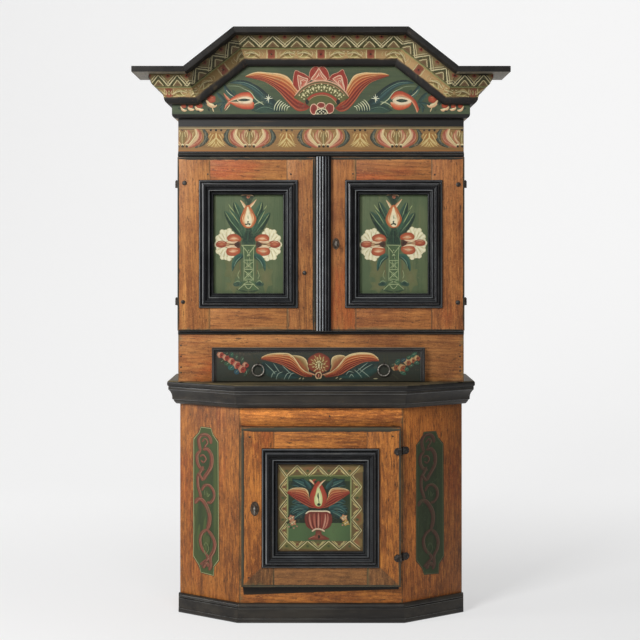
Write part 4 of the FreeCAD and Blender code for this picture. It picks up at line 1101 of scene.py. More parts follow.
@dataclass
class BaseCase:
    """The lower case: plinth, canted corners, waist and its boards."""

    body: str = "carcass"
    cant_front: tuple[float, float] = (0.282, -0.152)
    cant_back: tuple[float, float] = (0.500, -0.012)

    def outer(self, centre: Vector, normal: Vector) -> Finish:
        """Stain what shows from outside and leave the inside and the back bare.

        Args:
            centre: a face's middle.
            normal: its direction.

        Returns:
            The face's finish.
        """
        inward = normal.y > 0.3 or (normal.x * centre.x < 0 and abs(normal.x) > 0.3 and abs(centre.x) > 0.3)
        # the left face takes a darker copy of the stain and the right a copy that darkens towards the back: painted
        # shade
        stain = PAINTED_SHADE_LEFT_CANTED_PINE if centre.x < 0 else PAINTED_SHADE_RIGHT_CANTED_PINE
        return BARE if inward or abs(normal.z) > 0.9 else stain

    def build(self) -> None:
        """Dress the lower case's boards."""
        for node in ("base_side_boards", "base_canted_boards"):
            dress(node, self.body, self.outer)
        # the frame's top rail is stained lighter: painted light
        dress("base_front_frame", self.body, PAINTED_LIGHT_FRAME_PINE)
        for node in ("base_floor", "base_shelf", "base_back_planks"):
            dress(node, self.body, BARE)
        dress("waist_board", self.body, lambda centre, normal: WAIST_TOP if normal.z > 0.6 else BLACK, 1.0,
            BLACK_ARRIS_WEAR_AND_HIGHLIGHT)
        for node in ("waist_mouldings", "plinth_mouldings"):
            dress(node, self.body, FOOT_BLACK, 0.8, BLACK_ARRIS_WEAR_AND_HIGHLIGHT)

    def cant(self, side: int, start: float, z: float) -> Lay:
        """Give the placing on a canted face.

        Args:
            side: -1 for the left face and 1 for the right.
            start: from the face's left edge, seen from outside.
            z: the height of the drawing's foot.

        Returns:
            What puts a point of the drawing in its place; squares are stretched along the face.
        """
        front_edge = Vector((side * self.cant_front[0], self.cant_front[1], 0))
        back_edge = Vector((side * self.cant_back[0], self.cant_back[1], 0))
        left, right = (back_edge, front_edge) if side < 0 else (front_edge, back_edge)
        along = (right - left).normalized()
        out = Vector((along.y, -along.x, 0))
        return lambda across, up, lift: left + along * (start + across * 1.258) + out * lift + Vector((0, 0, z + up))

    def paint(self) -> None:
        """Paint a dark band under the lower door as its painted shadow, and the long eight-cornered fields with their
        red scrolls on the canted faces.
        """
        # a painted shadow of the lower door, tapering from left to right on the frame below it
        p = Painting("soot_below_door", self.body, "3c2c1c", MM, front(0.0, self.cant_front[1], 0.0), 0.35, 0.4)
        p.loft("-270 121, -90 121, 90 121, 268 121", "-266 93, -90 99, 90 106, 268 112",
            "0e0b09 15110e 1e1812 32261a", 7)
        p.done()
        sides = ((-1, "left_cant_painting", 0.060, 0.137), (1, "right_cant_painting", 0.0586, 0.140))
        for side, name, start, foot in sides:
            p = Painting(name, self.body, "3c4a30", 3.505e-3, self.cant(side, start, foot), 0.5)
            wide = 0.0 if side < 0 else 1.6
            left = (
                "7.5 148.9, 17.5 148.5, 19.4 142.4, 24.5 135.4, 25.2 18.5, 20.4 11.4, "
                "20 2.2, 7.5 3.4, 5.8 9.8, 0 18.5, 0.2 136.4, 5.8 143.4"
            )
            rim = [(x + wide * (x > 12), y - (4.5 if side > 0 and y > 130 else 0)) for x, y in points(left)]
            corners = [q for a, b in zip(rim, rim[1:] + rim[:1]) for q in (a, ((a[0] + b[0]) / 2, (a[1] + b[1]) / 2))]
            middle = (12.5 + wide / 2, 75.0)
            p.wobble = 0.05
            # on the right face the ground, leaves, scrolls and lines are darker copies of the left's colours: painted
            # shade
            grounds = ("b3ae86", "44522f 36442b 4a5834") if side < 0 else ("6d6a50", "2f3a26 28321f 36422a")
            for by, codes in zip((0.75, 0.20, -0.30), ("241d15", *grounds)):
                wide, tall = 1 + by / 12.5, 1 + by / 74
                grown = [(middle[0] + (x - middle[0]) * wide, middle[1] + (y - middle[1]) * tall) for x, y in corners]
                p.polygon(grown, codes)
            for text in ("3 130, 4 96, 3 60", "21 120, 22 84, 21 40", "12 60, 11 40, 13 22", "6 52, 5 36, 6 24"):
                p.line(text, 4.0, "44522f 505e38 46542f" if side < 0 else "2c3724 354028", Press.LEAF)
            p.wobble = 0.2
            red = "5e3c30 824a3e 8e5246 663c32" if side < 0 else "43322b 5c3d35 52372f 3c2e26"
            pale = "9e7666" if side < 0 else "6c564c"
            for row in rows_of(SCROLLS):
                size, text = row.split(":")
                width = float(size)
                p.line(text, width, red, Press.EVEN, 5)
                p.line([(x + width * 0.34, y + width * 0.2) for x, y in points(text)], 0.55, pale, Press.LEAF)
                p.line([(x - width * 0.30, y - width * 0.2) for x, y in points(text)], 0.5, "4a2420", Press.LEAF)
            p.oval(13.6, 36.4, 3.4, 5.6, "525c3a 47542f" if side < 0 else "333c26", ruffle=0.08)
            for text in ("11.5 86.5, 11.7 81", "14.5 84, 15.4 80", "1.5 60, 1.4 40", "13.5 86, 14 80, 17 83",
                    "10.5 30, 13 34, 15.5 28, 12 22, 10.5 30"):
                p.line(text, 0.7, "6d7a56" if side < 0 else "4a5540")
            p.done()


FRIEZE_FLOWER = """
loft x7 232b28 39443f 525c57 2b332f | -13 2.2,-21 5,-26.2 11,-26 16,-22.5 21 | -12 3.5,-19 7.5,-21.2 11.5,
    -21.4 16,-19.6 21
leaf 0.5 77807a | -22.5 19.6,-23.6 13,-20 6.6
loft 0.14 x11 96453a ab5a4b c28675 ddc6a4 cdb68e | -7 2.3,-16 6,-20 13,-18 19,-14.8 21.6 | -4 4,-9.5 9,-13 14,
    -12.4 18.5,-11.8 21.4
loft 0.14 x7 a8584a bd8873 d6c39c | -3 5,-8.3 10,-9.6 15,-6 20.8 | -1.2 6,-3.8 10,-4.8 14,-3.4 19.6
leaf 1 e3d3b0 | -14.5 21,-13 15,-8 8,-4.5 5
leaf 0.7 8a3c32 | -17.4 18,-16 11,-9 5.4
leaf 0.6 dcb9a0 | -16.2 19,-14.8 12.5,-8.6 6.6
leaf 0.7 b89466 | -12.2 20.6,-10.8 14,-6.4 8
leaf 0.6 e0caa2 | -7.6 17.5,-7.2 12,-3.6 7
leaf 0.6 9c4c3e | -5.8 19.5,-5.6 13,-2.6 8
leaf 0.6 d9c69c | -10.8 19,-9.6 13
leaf 0.5 d0a890 | -19 17,-18.8 12,-14.6 7
leaf 0.9 d9c8a0 | -3.4 20.6,-2.2 17,-3.4 13
"""
FRIEZE_HEART = """
oval 6d6040 8d7a50 | 0 13 2.5 6.2
leaf 0.7 cfc096 | -0.2 6,-0.4 12,0 18
dots 1.15 1a1714 | 0 20.4
"""
FRIEZE_TUFT = """
oval a8763c a27040 a17c4c | 0 14 8.2 5
oval ad8850 a6824f | 0 7 8.6 4.2
leaf 1.6 d6bf8c | 0 18,0 11
"""
FRIEZE_BLADES = """
drop dfcc9e c8ad74 | 1.5: -0.5 13,-3.5 8.5,-9 3.6 | 1.1: -1 9,-2.5 6,-5 3.4 | 0.8: 0 7,-0.6 5,-1.6 3.2 |
    1: -2.5 16.5,-4.8 13,-7.5 7 | 0.7: -5.5 17,-7 14 | 0.8: -2 11.6,-5.4 8,-10.6 5
leaf 0.8 8c5a34 | -8 19,-6.6 17
"""


@dataclass
class UpperCase:
    """The upper case: sides, shelves, drawer opening, beads and frieze."""

    body: str = "carcass"
    frieze_face: float = -0.078
    frieze_foot: float = 1.6294
    half: float = 0.4990

    def outer(self, centre: Vector, normal: Vector) -> Finish:
        """Stain the outside of the sides and leave the rest bare."""
        return PINE if normal.x * centre.x > 0.2 or normal.y < -0.5 else BARE

    def build(self) -> None:
        """Dress the upper case's boards."""
        dress("upper_side_boards", self.body, self.outer)
        # the surround's stain darkens towards the right: painted shade
        dress("drawer_surround", self.body, lambda centre, normal: BARE if normal.y > 0.5 else PAINTED_SHADE_RAIL_PINE)
        dress("case_beads", self.body, BLACK, 0.7, BLACK_ARRIS_WEAR_AND_HIGHLIGHT)
        dress("frieze_board", self.body, lambda centre, normal: FRIEZE if normal.y < -0.3 else BARE)
        for node in ("dust_board", "drawer_runners", "upper_shelves", "upper_top_board", "upper_back_planks"):
            dress(node, self.body, BARE)

    def paint(self) -> None:
        """Paint the frieze's row of open flowers between dark sickle leaves."""
        lay = lambda right, up, lift: Vector((max(-self.half, min(self.half, 0.009 + right)), self.frieze_face - lift,
            self.frieze_foot + up))
        p = Painting("frieze_painting", self.body, "a8845c", 3.5015e-3, lay, 0.4)
        middles = (-141.0, -74.0, 0.0, 73.0, 138.5)
        for x in middles:
            p.both(x, FRIEZE_FLOWER)
            p.at(x, 0)
            p.draw(FRIEZE_HEART)
            for dot in (-4.3, 0, 4.3):
                p.oval(dot, 5.6, 1.4, 1.2, "e3d6b4")
                p.dots(f"{dot} 4.1", 1.25, "1a1714")
        for a, b in zip(middles, middles[1:]):
            p.at((a + b) / 2, 0)
            p.draw(FRIEZE_TUFT)
            p.both((a + b) / 2, FRIEZE_BLADES)
            p.at((a + b) / 2, 0)
            p.dots("-5.2 20.2, 0 20.2, 5.2 20.2", 1.15, "1a1714")
        p.done()


GABLE_FLOWER = """
oval 0 0.2 x10 5a1f1a 8f3a30 9c5a48 | 0 -7.5 8 6
oval 241512 | 0 -6 2.6 2.4
even 1.2 a8785c | -7 -22,0 -17,7 -22
"""
GARLAND_LEAVES = """
leaf 6 6d5a38 8a7448 | 6 -75,30 -62,60 -76
leaf 8 x6 7c7444 c2b07c e8dab4 f0e6c8 | 2 -61,14 -56,30 -54,46 -59,58 -68
leaf 6 x5 7a7444 b5a878 dccb98 | 4 -64,16 -69,30 -69,44 -64
leaf 4.5 b08a58 e3cfa2 | 20 -51,30 -49,40 -53,46 -60
leaf 3 f4e8c8 cdb883 | 8 -73,18 -66,24 -58,22 -50
leaf 3.4 efe0ba a8744c | 50 -50,56 -56,54 -64,47 -67
leaf 3.2 e3cfa2 8a7448 | 62 -52,68 -60,64 -70
leaf 2.4 efe0ba | 12 -50,6 -54,4 -49
leaf 2.6 e3cfa2 | 28 -74,38 -71,48 -74
leaf 1 4a4428 | 10 -58,24 -57.5,38 -59
leaf 1 5a4a2c | 30 -52,38 -56,42 -62
"""
FIELD_LEAVES = """
loft x9 263c3c 2a4240 38544c 2c443e | -66 27,-58 24,-50 18,-44 12,-36 3 | -70 15,-66 9,-66 6,-67 3,-60 1.4
loft x11 1a2a2e 22383c 35525a 25393c | -91 32,-84 34.4,-74 33.6,-64 29,-56 23,-48 14.5,-40 5.5 | -91 31,-81 30,
    -72 26,-65 20,-59 14,-54 9,-50 4
leaf 0.6 6f8c88 | -88 32.4,-76 31.6,-66 27,-57 19.6
leaf 0.5 4f6f70 | -86 31.2,-74 29,-64 23,-56 15.6
leaf 4.6 1c2e2e 2c4644 1f3230 | -70 3.4,-58 8.6,-48 7,-36 2.4
leaf 0.5 6f8c80 | -66 4,-57 7.4,-46 5
tail 1 b9c0a8 | -80 26.5,-71 22.5,-65 15,-57 9.5
leaf 5.4 1c2e34 2c464c 3f605e | -97 30.4,-93.5 23,-88 18.4,-83.6 19.4
leaf 0.7 c9cfb8 | -95.4 25,-91.6 20.6,-87 17.6
leaf 2.6 2c4a44 | -89 24.6,-85 20.4
leaf 0.9 b9c0a8 | -70 7,-64 11.3,-57 12.6
leaf 0.8 7f8d7a | -94 28.5,-84 28.2,-76 26
leaf dfe2d6 | 0.9: -52.6 20.6,-52.5 16,-52.7 11.4 | 0.9: -56.8 16.2,-52.4 15.8,-48 16.4 | 0.7: -54.8 18.6,
    -52.4 16 | 0.7: -50.4 18.4,-52.4 16 | 0.7: -54.4 13.6,-52.4 16
"""
TULIP_LEAVES = """
leaf {teal} | 4.2: -104.5 22,-100 17,-94.6 11 | 2.4: -106.5 9.8,-100 11.4,-94.6 11.8 | 2.8: -99.6 1.8,-99.4 6.8,
    -97 11.6 | 2.4: -94.6 4.6,-96 8,-97 12 | 1.8: -102.6 5.4,-99.4 8.6,-96 12
"""
CHERRY_LEAVES = """
leaf 1.9 {dark} | -120 13.6,-117 11,-115.6 8.6 | -117.5 14,-114 10.4 | -126.6 10.6,-127.6 6.4 | -134.4 10.6,
    -133.6 6.6 | -113 6.4,-111.4 3 | -143 6.6,-140 5.4 | -107.6 10.2,-104.8 9.6 | -124.6 3.4,-121 3
leaf 1.2 d9c0a0 | -109 7,-107 2.5
"""
LYING_TULIPS = """
drop b5452f dc9c84 | 2.6: -90.5 13,-94 16.5,-97.5 21.5 | 2.4: -90 12.5,-94 9.5,-96.5 5
drop 0.9 e6cdb0 | -91 10,-94 6,-96 3.5
loft x9 ad4230 c6593e dd8a6c eed8c4 | -94 12.5,-87 18.2,-79 22,-71 21.8,-67 16.5 | -92 12.5,-86 14.6,-80 15.8,
    -73 16.4,-68.5 15
loft x9 a63d2c c6593e dd8a6c eed8c4 | -92 12,-83 7,-75 5.2,-68 5.8,-66.8 11 | -90 12.8,-84 12.6,-78 12.2,-72 12.2,
    -68.5 13.4
blob f2eadc e6cfbc | -84 14.4,-78 17.6,-71 17.2,-68 14.4,-71 11.6,-78 11.2
blob 3c4a44 26312c | -83.5 14.4,-77 16,-70.5 14.6,-77 13.1
loft x9 a63d2c c6593e e0a78c | 69 17,74 22.5,81 23,90 18.5,95 13,98 5 | 70.5 14.5,75 17.3,82 17.8,89 14,93 9,
    96 1.5
loft x8 b84a32 cf6a48 e8b8a0 | 70 9,74 5.2,80 4.4,87 7,90.5 10.5 | 69.5 12.5,76 11.4,82 10.6,87 11.2,90 12.4
blob f2eadc e6cfbc | 71.5 14,76 17.6,84 17,91 13,84 10,76 10
blob 3c4a44 26312c | 75 14,80.5 15.6,87 13.6,80.5 12
wing | -75.5 38.4,-70 41,-62 42.7,-52 41.7,-42 41,-33 37.5,-28 30.5,-22 22.5,-14.5 13 | -75.2 37.4,-62 34.5,
    -54 31.5,-44 24.5,-37 16.5,-30 8.5,-23 3.5,-16 4,-11 7
wing | 68 39.5,61 41.7,52 41.5,44 42,34 39.5,29 32.5,25 24.5,21 16.5,17 8.5 | 68 38.4,56 34.5,48 30.5,40 21.5,
    33 11.5,26 4.5,19 3,14 6.5
"""
PETALS = """
-28 29.5,-27.7 35.5,-25.6 43.6,-21 42.2,-16 40,-10.4 35,-15 30.5,-20 21.5,-24 24.5 | -23.4 39.4,-18 37,-13 35,
    -17 28.5,-20.5 22.6,-22.4 30.5 | -22 37.4,-21.4 31,-19.6 24.6 | -22 37.4,-17.4 35.4,-14.6 33.8 | -20.4 34,
    -19.6 29.6 | -20.2 34.4,-17.2 33 | -19.5 31
-11 35,-11.7 40.5,-9.5 45.5,-5.5 48.2,-2.2 46.9,2 48.2,6 44.5,7.8 39.5,7.5 34.5,-2 33.5 | -2.2 46.4,1.5 40.5,
    5.5 35,-2 33.8,-9.5 35,-6 40.5 | -2.2 43.6,-0.2 39,3.4 35.6 | -2.2 43.6,-4.6 39,-7.6 35.6 | -2.2 40,
    -0.4 36.8 | -2.2 40,-4 36.8 | -2 38
8 35,11 39.5,17 41.9,21.7 44.8,24 40.5,26.3 34.5,26.3 28.5,24 22,20 27.5,14 32 | 11.5 35.5,19.5 39.2,22 32.5,
    23.5 24.5,17 31 | 13.6 35,18.6 37,20.4 32.6,21.6 27.6 | 16 34.4,18.4 34.8,19 31.4 | 17.6 33.4,18 31 | 19 32.5
"""
SPRIG = """
leaf 0.9 e4dcb8 | 0 -2.6,0 2.8
drop 0.8 e4dcb8 | 0 -1,-1.5 1.8 | 0 -1,1.5 1.8
"""
ARCH = """
blob x3 e4ddc6 | -6 0.6,-5 4.6,0 6.2,5 4.6,6 0.6,0 0.2
blob x3 26261f | -5 0.7,-4.2 4,0 5.3,4.2 4,5 0.7,0 0.4
"""


@dataclass
class Crown:
    """The broken pediment: tympanum, sides, painted cornice and roof."""

    body: str = "carcass"
    face: float = FRONT
    half: float = HALF_CROWN
    deep: float = 0.320
    knees: tuple[tuple[float, float], ...] = ((0.46107, 1.886), (0.29107, CROWN_TOP))
    lean: float = 0.3467

    def shield(self, centre: Vector, normal: Vector) -> Finish:
        """Paint the tympanum's field olive and its bottom quarter round black.

        Args:
            centre: a face's middle.
            normal: its direction.

        Returns:
            The face's finish.
        """
        if normal.y > 0.5:
            return BARE
        return BLACK if centre.z < 1.756 else OLIVE

    @staticmethod
    def cornice(shaded_side: int) -> Chooser:
        """Give a cornice's chooser: bare behind, and darker with painted shade on its left (-1), its right (1) or
        nowhere (0).
        """
        return lambda centre, normal: BARE if normal.y > 0.5 else PAINTED_SHADE_CORNICE if shaded_side * centre.x > 0 else CORNICE

    def roof(self, centre: Vector, normal: Vector) -> Finish:
        """Leave the eaves grey from below and paint the rest black."""
        return GREY_PINE if normal.z < -0.9 and abs(centre.x) > 0.50 else ROOF_BLACK

    def build(self) -> None:
        """Dress the crown's boards."""
        dress("tympanum_board", self.body, self.shield, 0.8)
        dress("crown_side_boards", self.body, lambda centre, normal: BLACK if normal.x * centre.x > 0.2 else BARE)
        dress("crown_inner_boards", self.body, BARE)
        # the left rake and the right wing take the darker bands: painted shade
        for node, shaded_side in (("cornice_centre", 0), ("cornice_rakes", -1), ("cornice_wings", 1),
                ("cornice_returns", 0)):
            dress(node, self.body, self.cornice(shaded_side), 0.4)
        dress("roof_boards", self.body, self.roof, 1.4)

    def paint(self) -> None:
        """Paint the tympanum and every run of the cornice."""
        self.tympanum()
        p = Painting("cornice_painting", self.body, "80704c", MM, self.run(0), 0.5, 0.5)
        runs = ((-291, 291), (0, 216.5), (-216.5, 0), (0, 130), (-130, 0), (0, 320), (-320, 0))
        for run, (start, stop) in enumerate(runs):
            # some runs, the left rake most, take their strokes darker: painted shade
            p.lay, p.boxes, p.age = self.run(run), [], AGE * {1: 0.82, 2: 0.46, 3: 0.72, 5: 0.85}.get(run, 1.0)
            self.zigzag(p, start, stop)
            self.garland(p, start, stop, run)
        p.done()

    def run(self, number: int) -> Lay:
        """Give the placing on one run of the cornice.

        Args:
            number: 0 the centre, 1 and 2 the right and left rake from their upper knee, 3 and 4 the
                wings from their knee, 5 and 6 the right and left side from the front corner.

        Returns:
            What puts a point in its place: along the run, up (always below the roof, so negative) and lift.
        """
        corners = [v.co for v in frame["nodes"]["cornice_centre"].data.vertices]
        section = sorted({(round(CROWN_TOP - c.z, 5), round(self.face - c.y, 5)) for c in corners
            if self.face - c.y > 0.0088})
        (low_x, low_z), (high_x, high_z) = self.knees
        length = math.hypot(low_x - high_x, high_z - low_z)
        slope = Vector(((low_x - high_x) / length, (low_z - high_z) / length))

        def out(depth: float) -> tuple[float, float, float]:
            """Give how far the section stands out at a depth, and its normal.

            Args:
                depth: how far below the top line.

            Returns:
                The distance and the normal's two parts.
            """
            depth = min(max(depth, section[0][0]), section[-1][0])
            for (v0, u0), (v1, u1) in zip(section, section[1:]):
                if v0 <= depth <= v1 and v1 > v0:
                    size = math.hypot(v1 - v0, u1 - u0)
                    return u0 + (u1 - u0) * (depth - v0) / (v1 - v0), (u0 - u1) / size, (v1 - v0) / size
            return section[-1][1], 0.0, 1.0

        def lay(along: float, up: float, lift: float) -> Vector:
            """Put a point of the drawing on this run, kept inside its mitres.

            Args:
                along: its place along the run.
                up: its height in the drawing, below 0.
                lift: how far off the wood it lies.

            Returns:
                The point in the frame.
            """
            u, down, forth = out(-up)
            v = -up + down * lift
            u += forth * (lift + 0.0001)
            cut = self.lean * -up
            if number == 0:
                along = max(-high_x + cut, min(high_x - cut, along))
                return Vector((along, self.face - u, high_z - v))
            side = 1 if number % 2 else -1
            if number < 3:
                along = max(cut, min(length + cut, side * along))
                x = high_x + slope.x * along + slope.y * v
                return Vector((side * x, self.face - u, high_z + slope.y * along - slope.x * v))
            if number < 5:
                along = min(max(-cut, side * along), self.half + u - low_x)
                return Vector((side * (low_x + along), self.face - u, low_z - v))
            along = max(-u, min(self.deep, side * along))
            return Vector((side * (self.half + u), self.face + along, low_z - v))

        return lay

    def zigzag(self, p: Painting, start: float, stop: float) -> None:
        """Paint the ovolo: a double cream zigzag with flowers above and small gables below.

        Args:
            p: the painting.
            start: where the run starts, in millimetres.
            stop: where it ends.
        """
        count = max(1, round((stop - start) / 79))
        pitch = (stop - start) / count
        for k in range(-1, count + 1):
            p.at(start + pitch * (k + 0.5), 0)
            half = pitch / 2
            green = "4a4a2c 3c4428 55502f"
            p.loft(f"{-half * 0.86} -37, {-half * 0.5} -23, 0 -8", f"{-half * 0.60} -38, {-half * 0.3} -26, 0 -15",
                green, 5)
            p.loft(f"0 -8, {half * 0.5} -23, {half * 0.86} -37", f"0 -15, {half * 0.3} -26, {half * 0.60} -38", green,
                5)
            p.blob(f"{-half * 0.5} -39, 0 -20, {half * 0.5} -39, 0 -40", "6d4a38 8c7c5c")
            for x in (-1, 1):
                p.line(between((x * half, -40), (0, -5), 7), 3.6, "e0d3b0 f0e6c8")
                p.line(between((x * (half + 9), -38), (x * 9.5, -5), 7), 2.4, "e0d3b0")
                p.line(between((x * half * 0.50, -39), (0, -21), 7), 2.6, "e0d3b0")
            p.at(start + pitch * (k + 1), 0)
            p.blob(f"{-half * 0.55} -4, {half * 0.55} -4, 4 -24, -4 -24", "8a6a50 8c7c58", middle=(0, -9))
            p.draw(GABLE_FLOWER)
        p.at()
        p.line(between((start - 40, -42.3), (stop + 40, -42.3), 61), 3.0, "98a070 a8ae80")

    def garland(self, p: Painting, start: float, stop: float, run: int) -> None:
        """Paint the cavetto: pale curled leaves with square red flowers between cream posts.

        Args:
            p: the painting.
            start: where the run starts, in millimetres.
            stop: where it ends.
            run: the run's number.
        """
        count = max(1, round((stop - start) / 172))
        pitch = (stop - start) / count
        flowers = [start + pitch * (k + (0 if run == 0 and count % 2 == 0 else 0.5)) for k in range(count + 1)]
        if run == 0:
            flowers = [-172, 0, 172]
        for x in flowers:
            p.at(x, 0)
            p.blob("-12 -48, 12 -48, 12 -61, 12 -74, -12 -74, -12 -61", "5a1f1a 93453a a0604c", steps=2)
            for angle in range(0, 360, 45):
                p.line(ray(angle, (0, -61, 2, 2), (0, -61, 10, 10)), 2.0, "a8483a 6b2a22", Press.LEAF)
            p.oval(0, -61, 3, 3, "2a1512")
            for post in (-15.5, 15.5):
                p.line([(post, -47.5 - 3.4 * i) for i in range(9)], 4.2, "efe2c0 d9c79a b59a70")
        before = flowers[0] - pitch if run == 0 else start - pitch / 2
        mids = [(a + b) / 2 for a, b in zip([before] + flowers, flowers + [stop + pitch / 2])]
        for x in mids:
            p.both(x, GARLAND_LEAVES)
            p.at(x, 0)
            p.oval(0, -61, 4.5, 5, "a86a4a d9c08e")

    def tympanum(self) -> None:
        """Paint the field: an open crown-shaped flower between two wings, leaves and lying tulips."""
        p = Painting("tympanum_painting", self.body, "566048", 3.4864e-3, front(0.0, self.face, 1.7535), 0.32)
        teal, dark = "1f3236 2c4649 3d5a58", "22302c"
        for mirror in (False, True):
            p.at(2 if mirror else 0, 0, mirror=mirror)
            p.draw(FIELD_LEAVES)
            for k in range(6):
                p.line([(-46.8 + 2.5 * k, 3.4), (-46 + 2.5 * k, 8.6 - 0.3 * k), (-42.6 + 2.2 * k, 13.6 - 1.1 * k),
                    (-40.4 + 1.8 * k, 14.6 - 1.4 * k)], 0.85, "d6dac4", Press.LEAF)
            p.draw(TULIP_LEAVES, teal=teal)
            for x, y, rx, ry in ((-109.5, 15.4, 4.3, 4.0), (-121.8, 8.8, 3.4, 2.5), (-130, 8.4, 2.7, 2.1),
                    (-137.4, 9, 2.5, 3.0)):
                p.line([(x - rx * 1.25, y - ry * 0.2), (x - rx * 0.6, y - ry * 1.3), (x + rx * 0.5, y - ry * 1.75),
                    (x + rx * 1.3, y - ry * 1.5)], rx * 0.95, "ead7b6 e3c3a0 d8a58c", Press.LEAF)
                p.oval(x, y, rx, ry, "c2583a b04a32 983a28", ruffle=0.06, sides=10)
                p.line([(x - rx * 0.7, y - ry * 0.9), (x + rx * 0.2, y - ry * 1.5), (x + rx, y - ry * 1.4)], 0.7,
                    "f2e6cc", Press.LEAF)
                p.line([(x - rx * 0.4, y + ry * 0.5), (x + rx * 0.5, y + ry * 0.4)], 0.6, "dc8a6a", Press.LEAF)
            p.draw(CHERRY_LEAVES, dark=dark)
        p.at()
        p.draw(LYING_TULIPS)
        self.crown_flower(p)
        p.done()

    @staticmethod
    def crown_flower(p: Painting) -> None:
        """Paint the middle flower: three pointed petals over an arched dotted band and a small chequered bloom.

        Args:
            p: the painting.
        """
        red, pink = "b0483c 9c3028 92281f", "b8503f c4685a d08c7c"
        p.at(0, 0)
        p.wobble = 0.12
        for row in rows_of(PETALS):
            outline, inner, *strokes, middle = row.split("|")
            middle = points(middle)[0]
            p.blob(outline, red, middle=middle)
            p.line(points(outline) + points(outline)[:1], 0.5, "d9a090")
            p.blob(inner, pink, middle=middle)
            p.line(points(inner) + points(inner)[:1], 0.6, "efd0c2")
            for number, text in enumerate(strokes):
                code, other = ("a84a3e", "f0d8ca") if number < 2 else ("f0d2c4", "a84a3e")
                p.line(text, 0.7, code, Press.LEAF)
                p.line([(x + 0.9, y - 0.9) for x, y in points(text)], 0.5, other, Press.LEAF)
        p.wobble = 0.1
        p.at(0.5, 0)
        spread = lambda low, high: [math.radians(low + (high - low) * i / 12) for i in range(13)]
        arc = lambda r, low=-62, high=62: [(r * math.sin(a) * 0.98, 1.5 + r * math.cos(a)) for a in spread(low, high)]
        p.sheet([between(a, b, 7) for a, b in zip(arc(19.2), arc(32.2))], p.blend("5c5a38 66623e 54542f", 7), 0.1)
        p.sheet([between((0, 2.5), a, 5) for a in arc(18.4)], p.blend("66683f 5c5f3a", 5), 0.1)
        p.line(arc(32.2, -58, 60), 1.3, "d9a090 e8bcaa c98a78")
        p.line(arc(19.6, -60, 60), 2.0, "9c382c b04a3c")
        p.line(arc(17.9, -60, 60), 0.7, "b98a70")
        p.line(arc(29.8, -56, 56), 0.5, "c98a78")
        for k in range(9):
            angle = -52 + 13 * k
            turn = math.radians(angle)
            for r in (22.6, 25.7, 28.6):
                p.oval(r * math.sin(turn) * 0.98, 1.5 + r * math.cos(turn), 0.72, 0.72, "ded6b0", sides=6)
            if k < 8:
                # small plain sprigs between the rows of dots
                next_turn = turn + 0.113
                p.at(0.5 + 25.4 * math.sin(next_turn) * 0.98, 1.5 + 25.4 * math.cos(next_turn), turn=-angle - 6.5)
                p.draw(SPRIG)
                p.at(0.5, 0)
        p.draw("oval 1f201a | -14.4 12.6 1.9 2.6 | 16.6 12.6 1.9 2.6")
        for x, y, rx, ry in ((-7.6, 5.2, 3.4, 4.8), (-0.4, 9.2, 3.6, 2.5), (8.2, 6, 3.9, 4.6)):
            p.oval(x, y, rx + 0.7, ry + 0.7, "e6bdae")
            p.oval(x, y, rx, ry, "7c2a28 94403a", ruffle=0.04, sides=10)
        p.draw(ARCH)
        for i in range(5):
            for j in range(3):
                if (i + j) % 2 == 0 and abs(i - 2) + j < 4:
                    p.oval(-3.6 + 1.8 * i, 1.2 + 1.5 * j, 0.75, 0.7, "e9e4d2", sides=6)


# browned patches of the ground
WORN_GROUND = """
oval 0 0.22 x12 706f52 6b6e50 646d4e | -16 26 8 15 | 17 16 7 13 | -15 7 8 6 | 18 60 5 9
"""
LONG_LEAVES = """
leaf 10.4 {leaf} | -3 54,-9 63,-16 72,-24 82
leaf 10.4 {other} | 3 54,8 63,14 71,21.5 80.5
leaf 7.4 {leaf} | -5.6 72,-9 79,-12 85,-14.6 91.6
leaf 7.4 {other} | 5.6 71,8.6 78,11 84,13.4 91.4
leaf 4.6 20382e 406454 2a4438 | -3.4 60,-9 69,-13 77,-18.6 84
leaf 4.6 2a4438 406454 20382e | 3.4 60,8.4 68,12 76,16.6 83.6
leaf 0.7 a8b488 | -23.6 81.4,-17 71.6,-9.6 63 | -19 83.6,-14.4 77.4,-9.6 70 | -14.6 91,-12.6 86,-9.6 80 | 20.8 80,
    14.6 70.4,9 63.4 | 17 83.4,12.8 76,9.4 69.6 | 13.4 91,11.6 85,9 78.4 | -20 89,-17 84.6,-13.6 80.6 | 18.6 88,
    15.6 83.4
leaf 0.5 6d8f78 | -21 77,-14 68,-7.4 60.4 | -6 56,-12 65,-18.6 73 | 19 76.6,12.6 68,6.6 60 | -8 76,-11 82,
    -13.6 88 | 7.6 75,10 81,12.4 87
blob 1b2c27 22382f 2a4438 | -6 48.5,-5 57,-1.4 67,0 69,2 67,5 57,6 48.5
leaf 2.2 14211e 36564a | 0.2 66,0 56,0 49
"""
HANDLE = """
drop 6 14302e 23484a 3f6a60 | -5 38,-11 35.5,-15 29,-16.5 22
leaf 0.7 7fa090 | -7 36.5,-12 32,-14.5 26
leaf 1.6 5d6a4c 75664c | -8 33,-8.6 25,-7.5 18
oval 12 0 1e3430 34524a | -11 9.5 4.6 2.5
leaf 0.7 93a584 | -14.5 10,-11 12.4,-7.4 10.5
leaf 1.7 26362a 3d5040 | -12.5 4.5,-6 2.2,0 1.6
"""
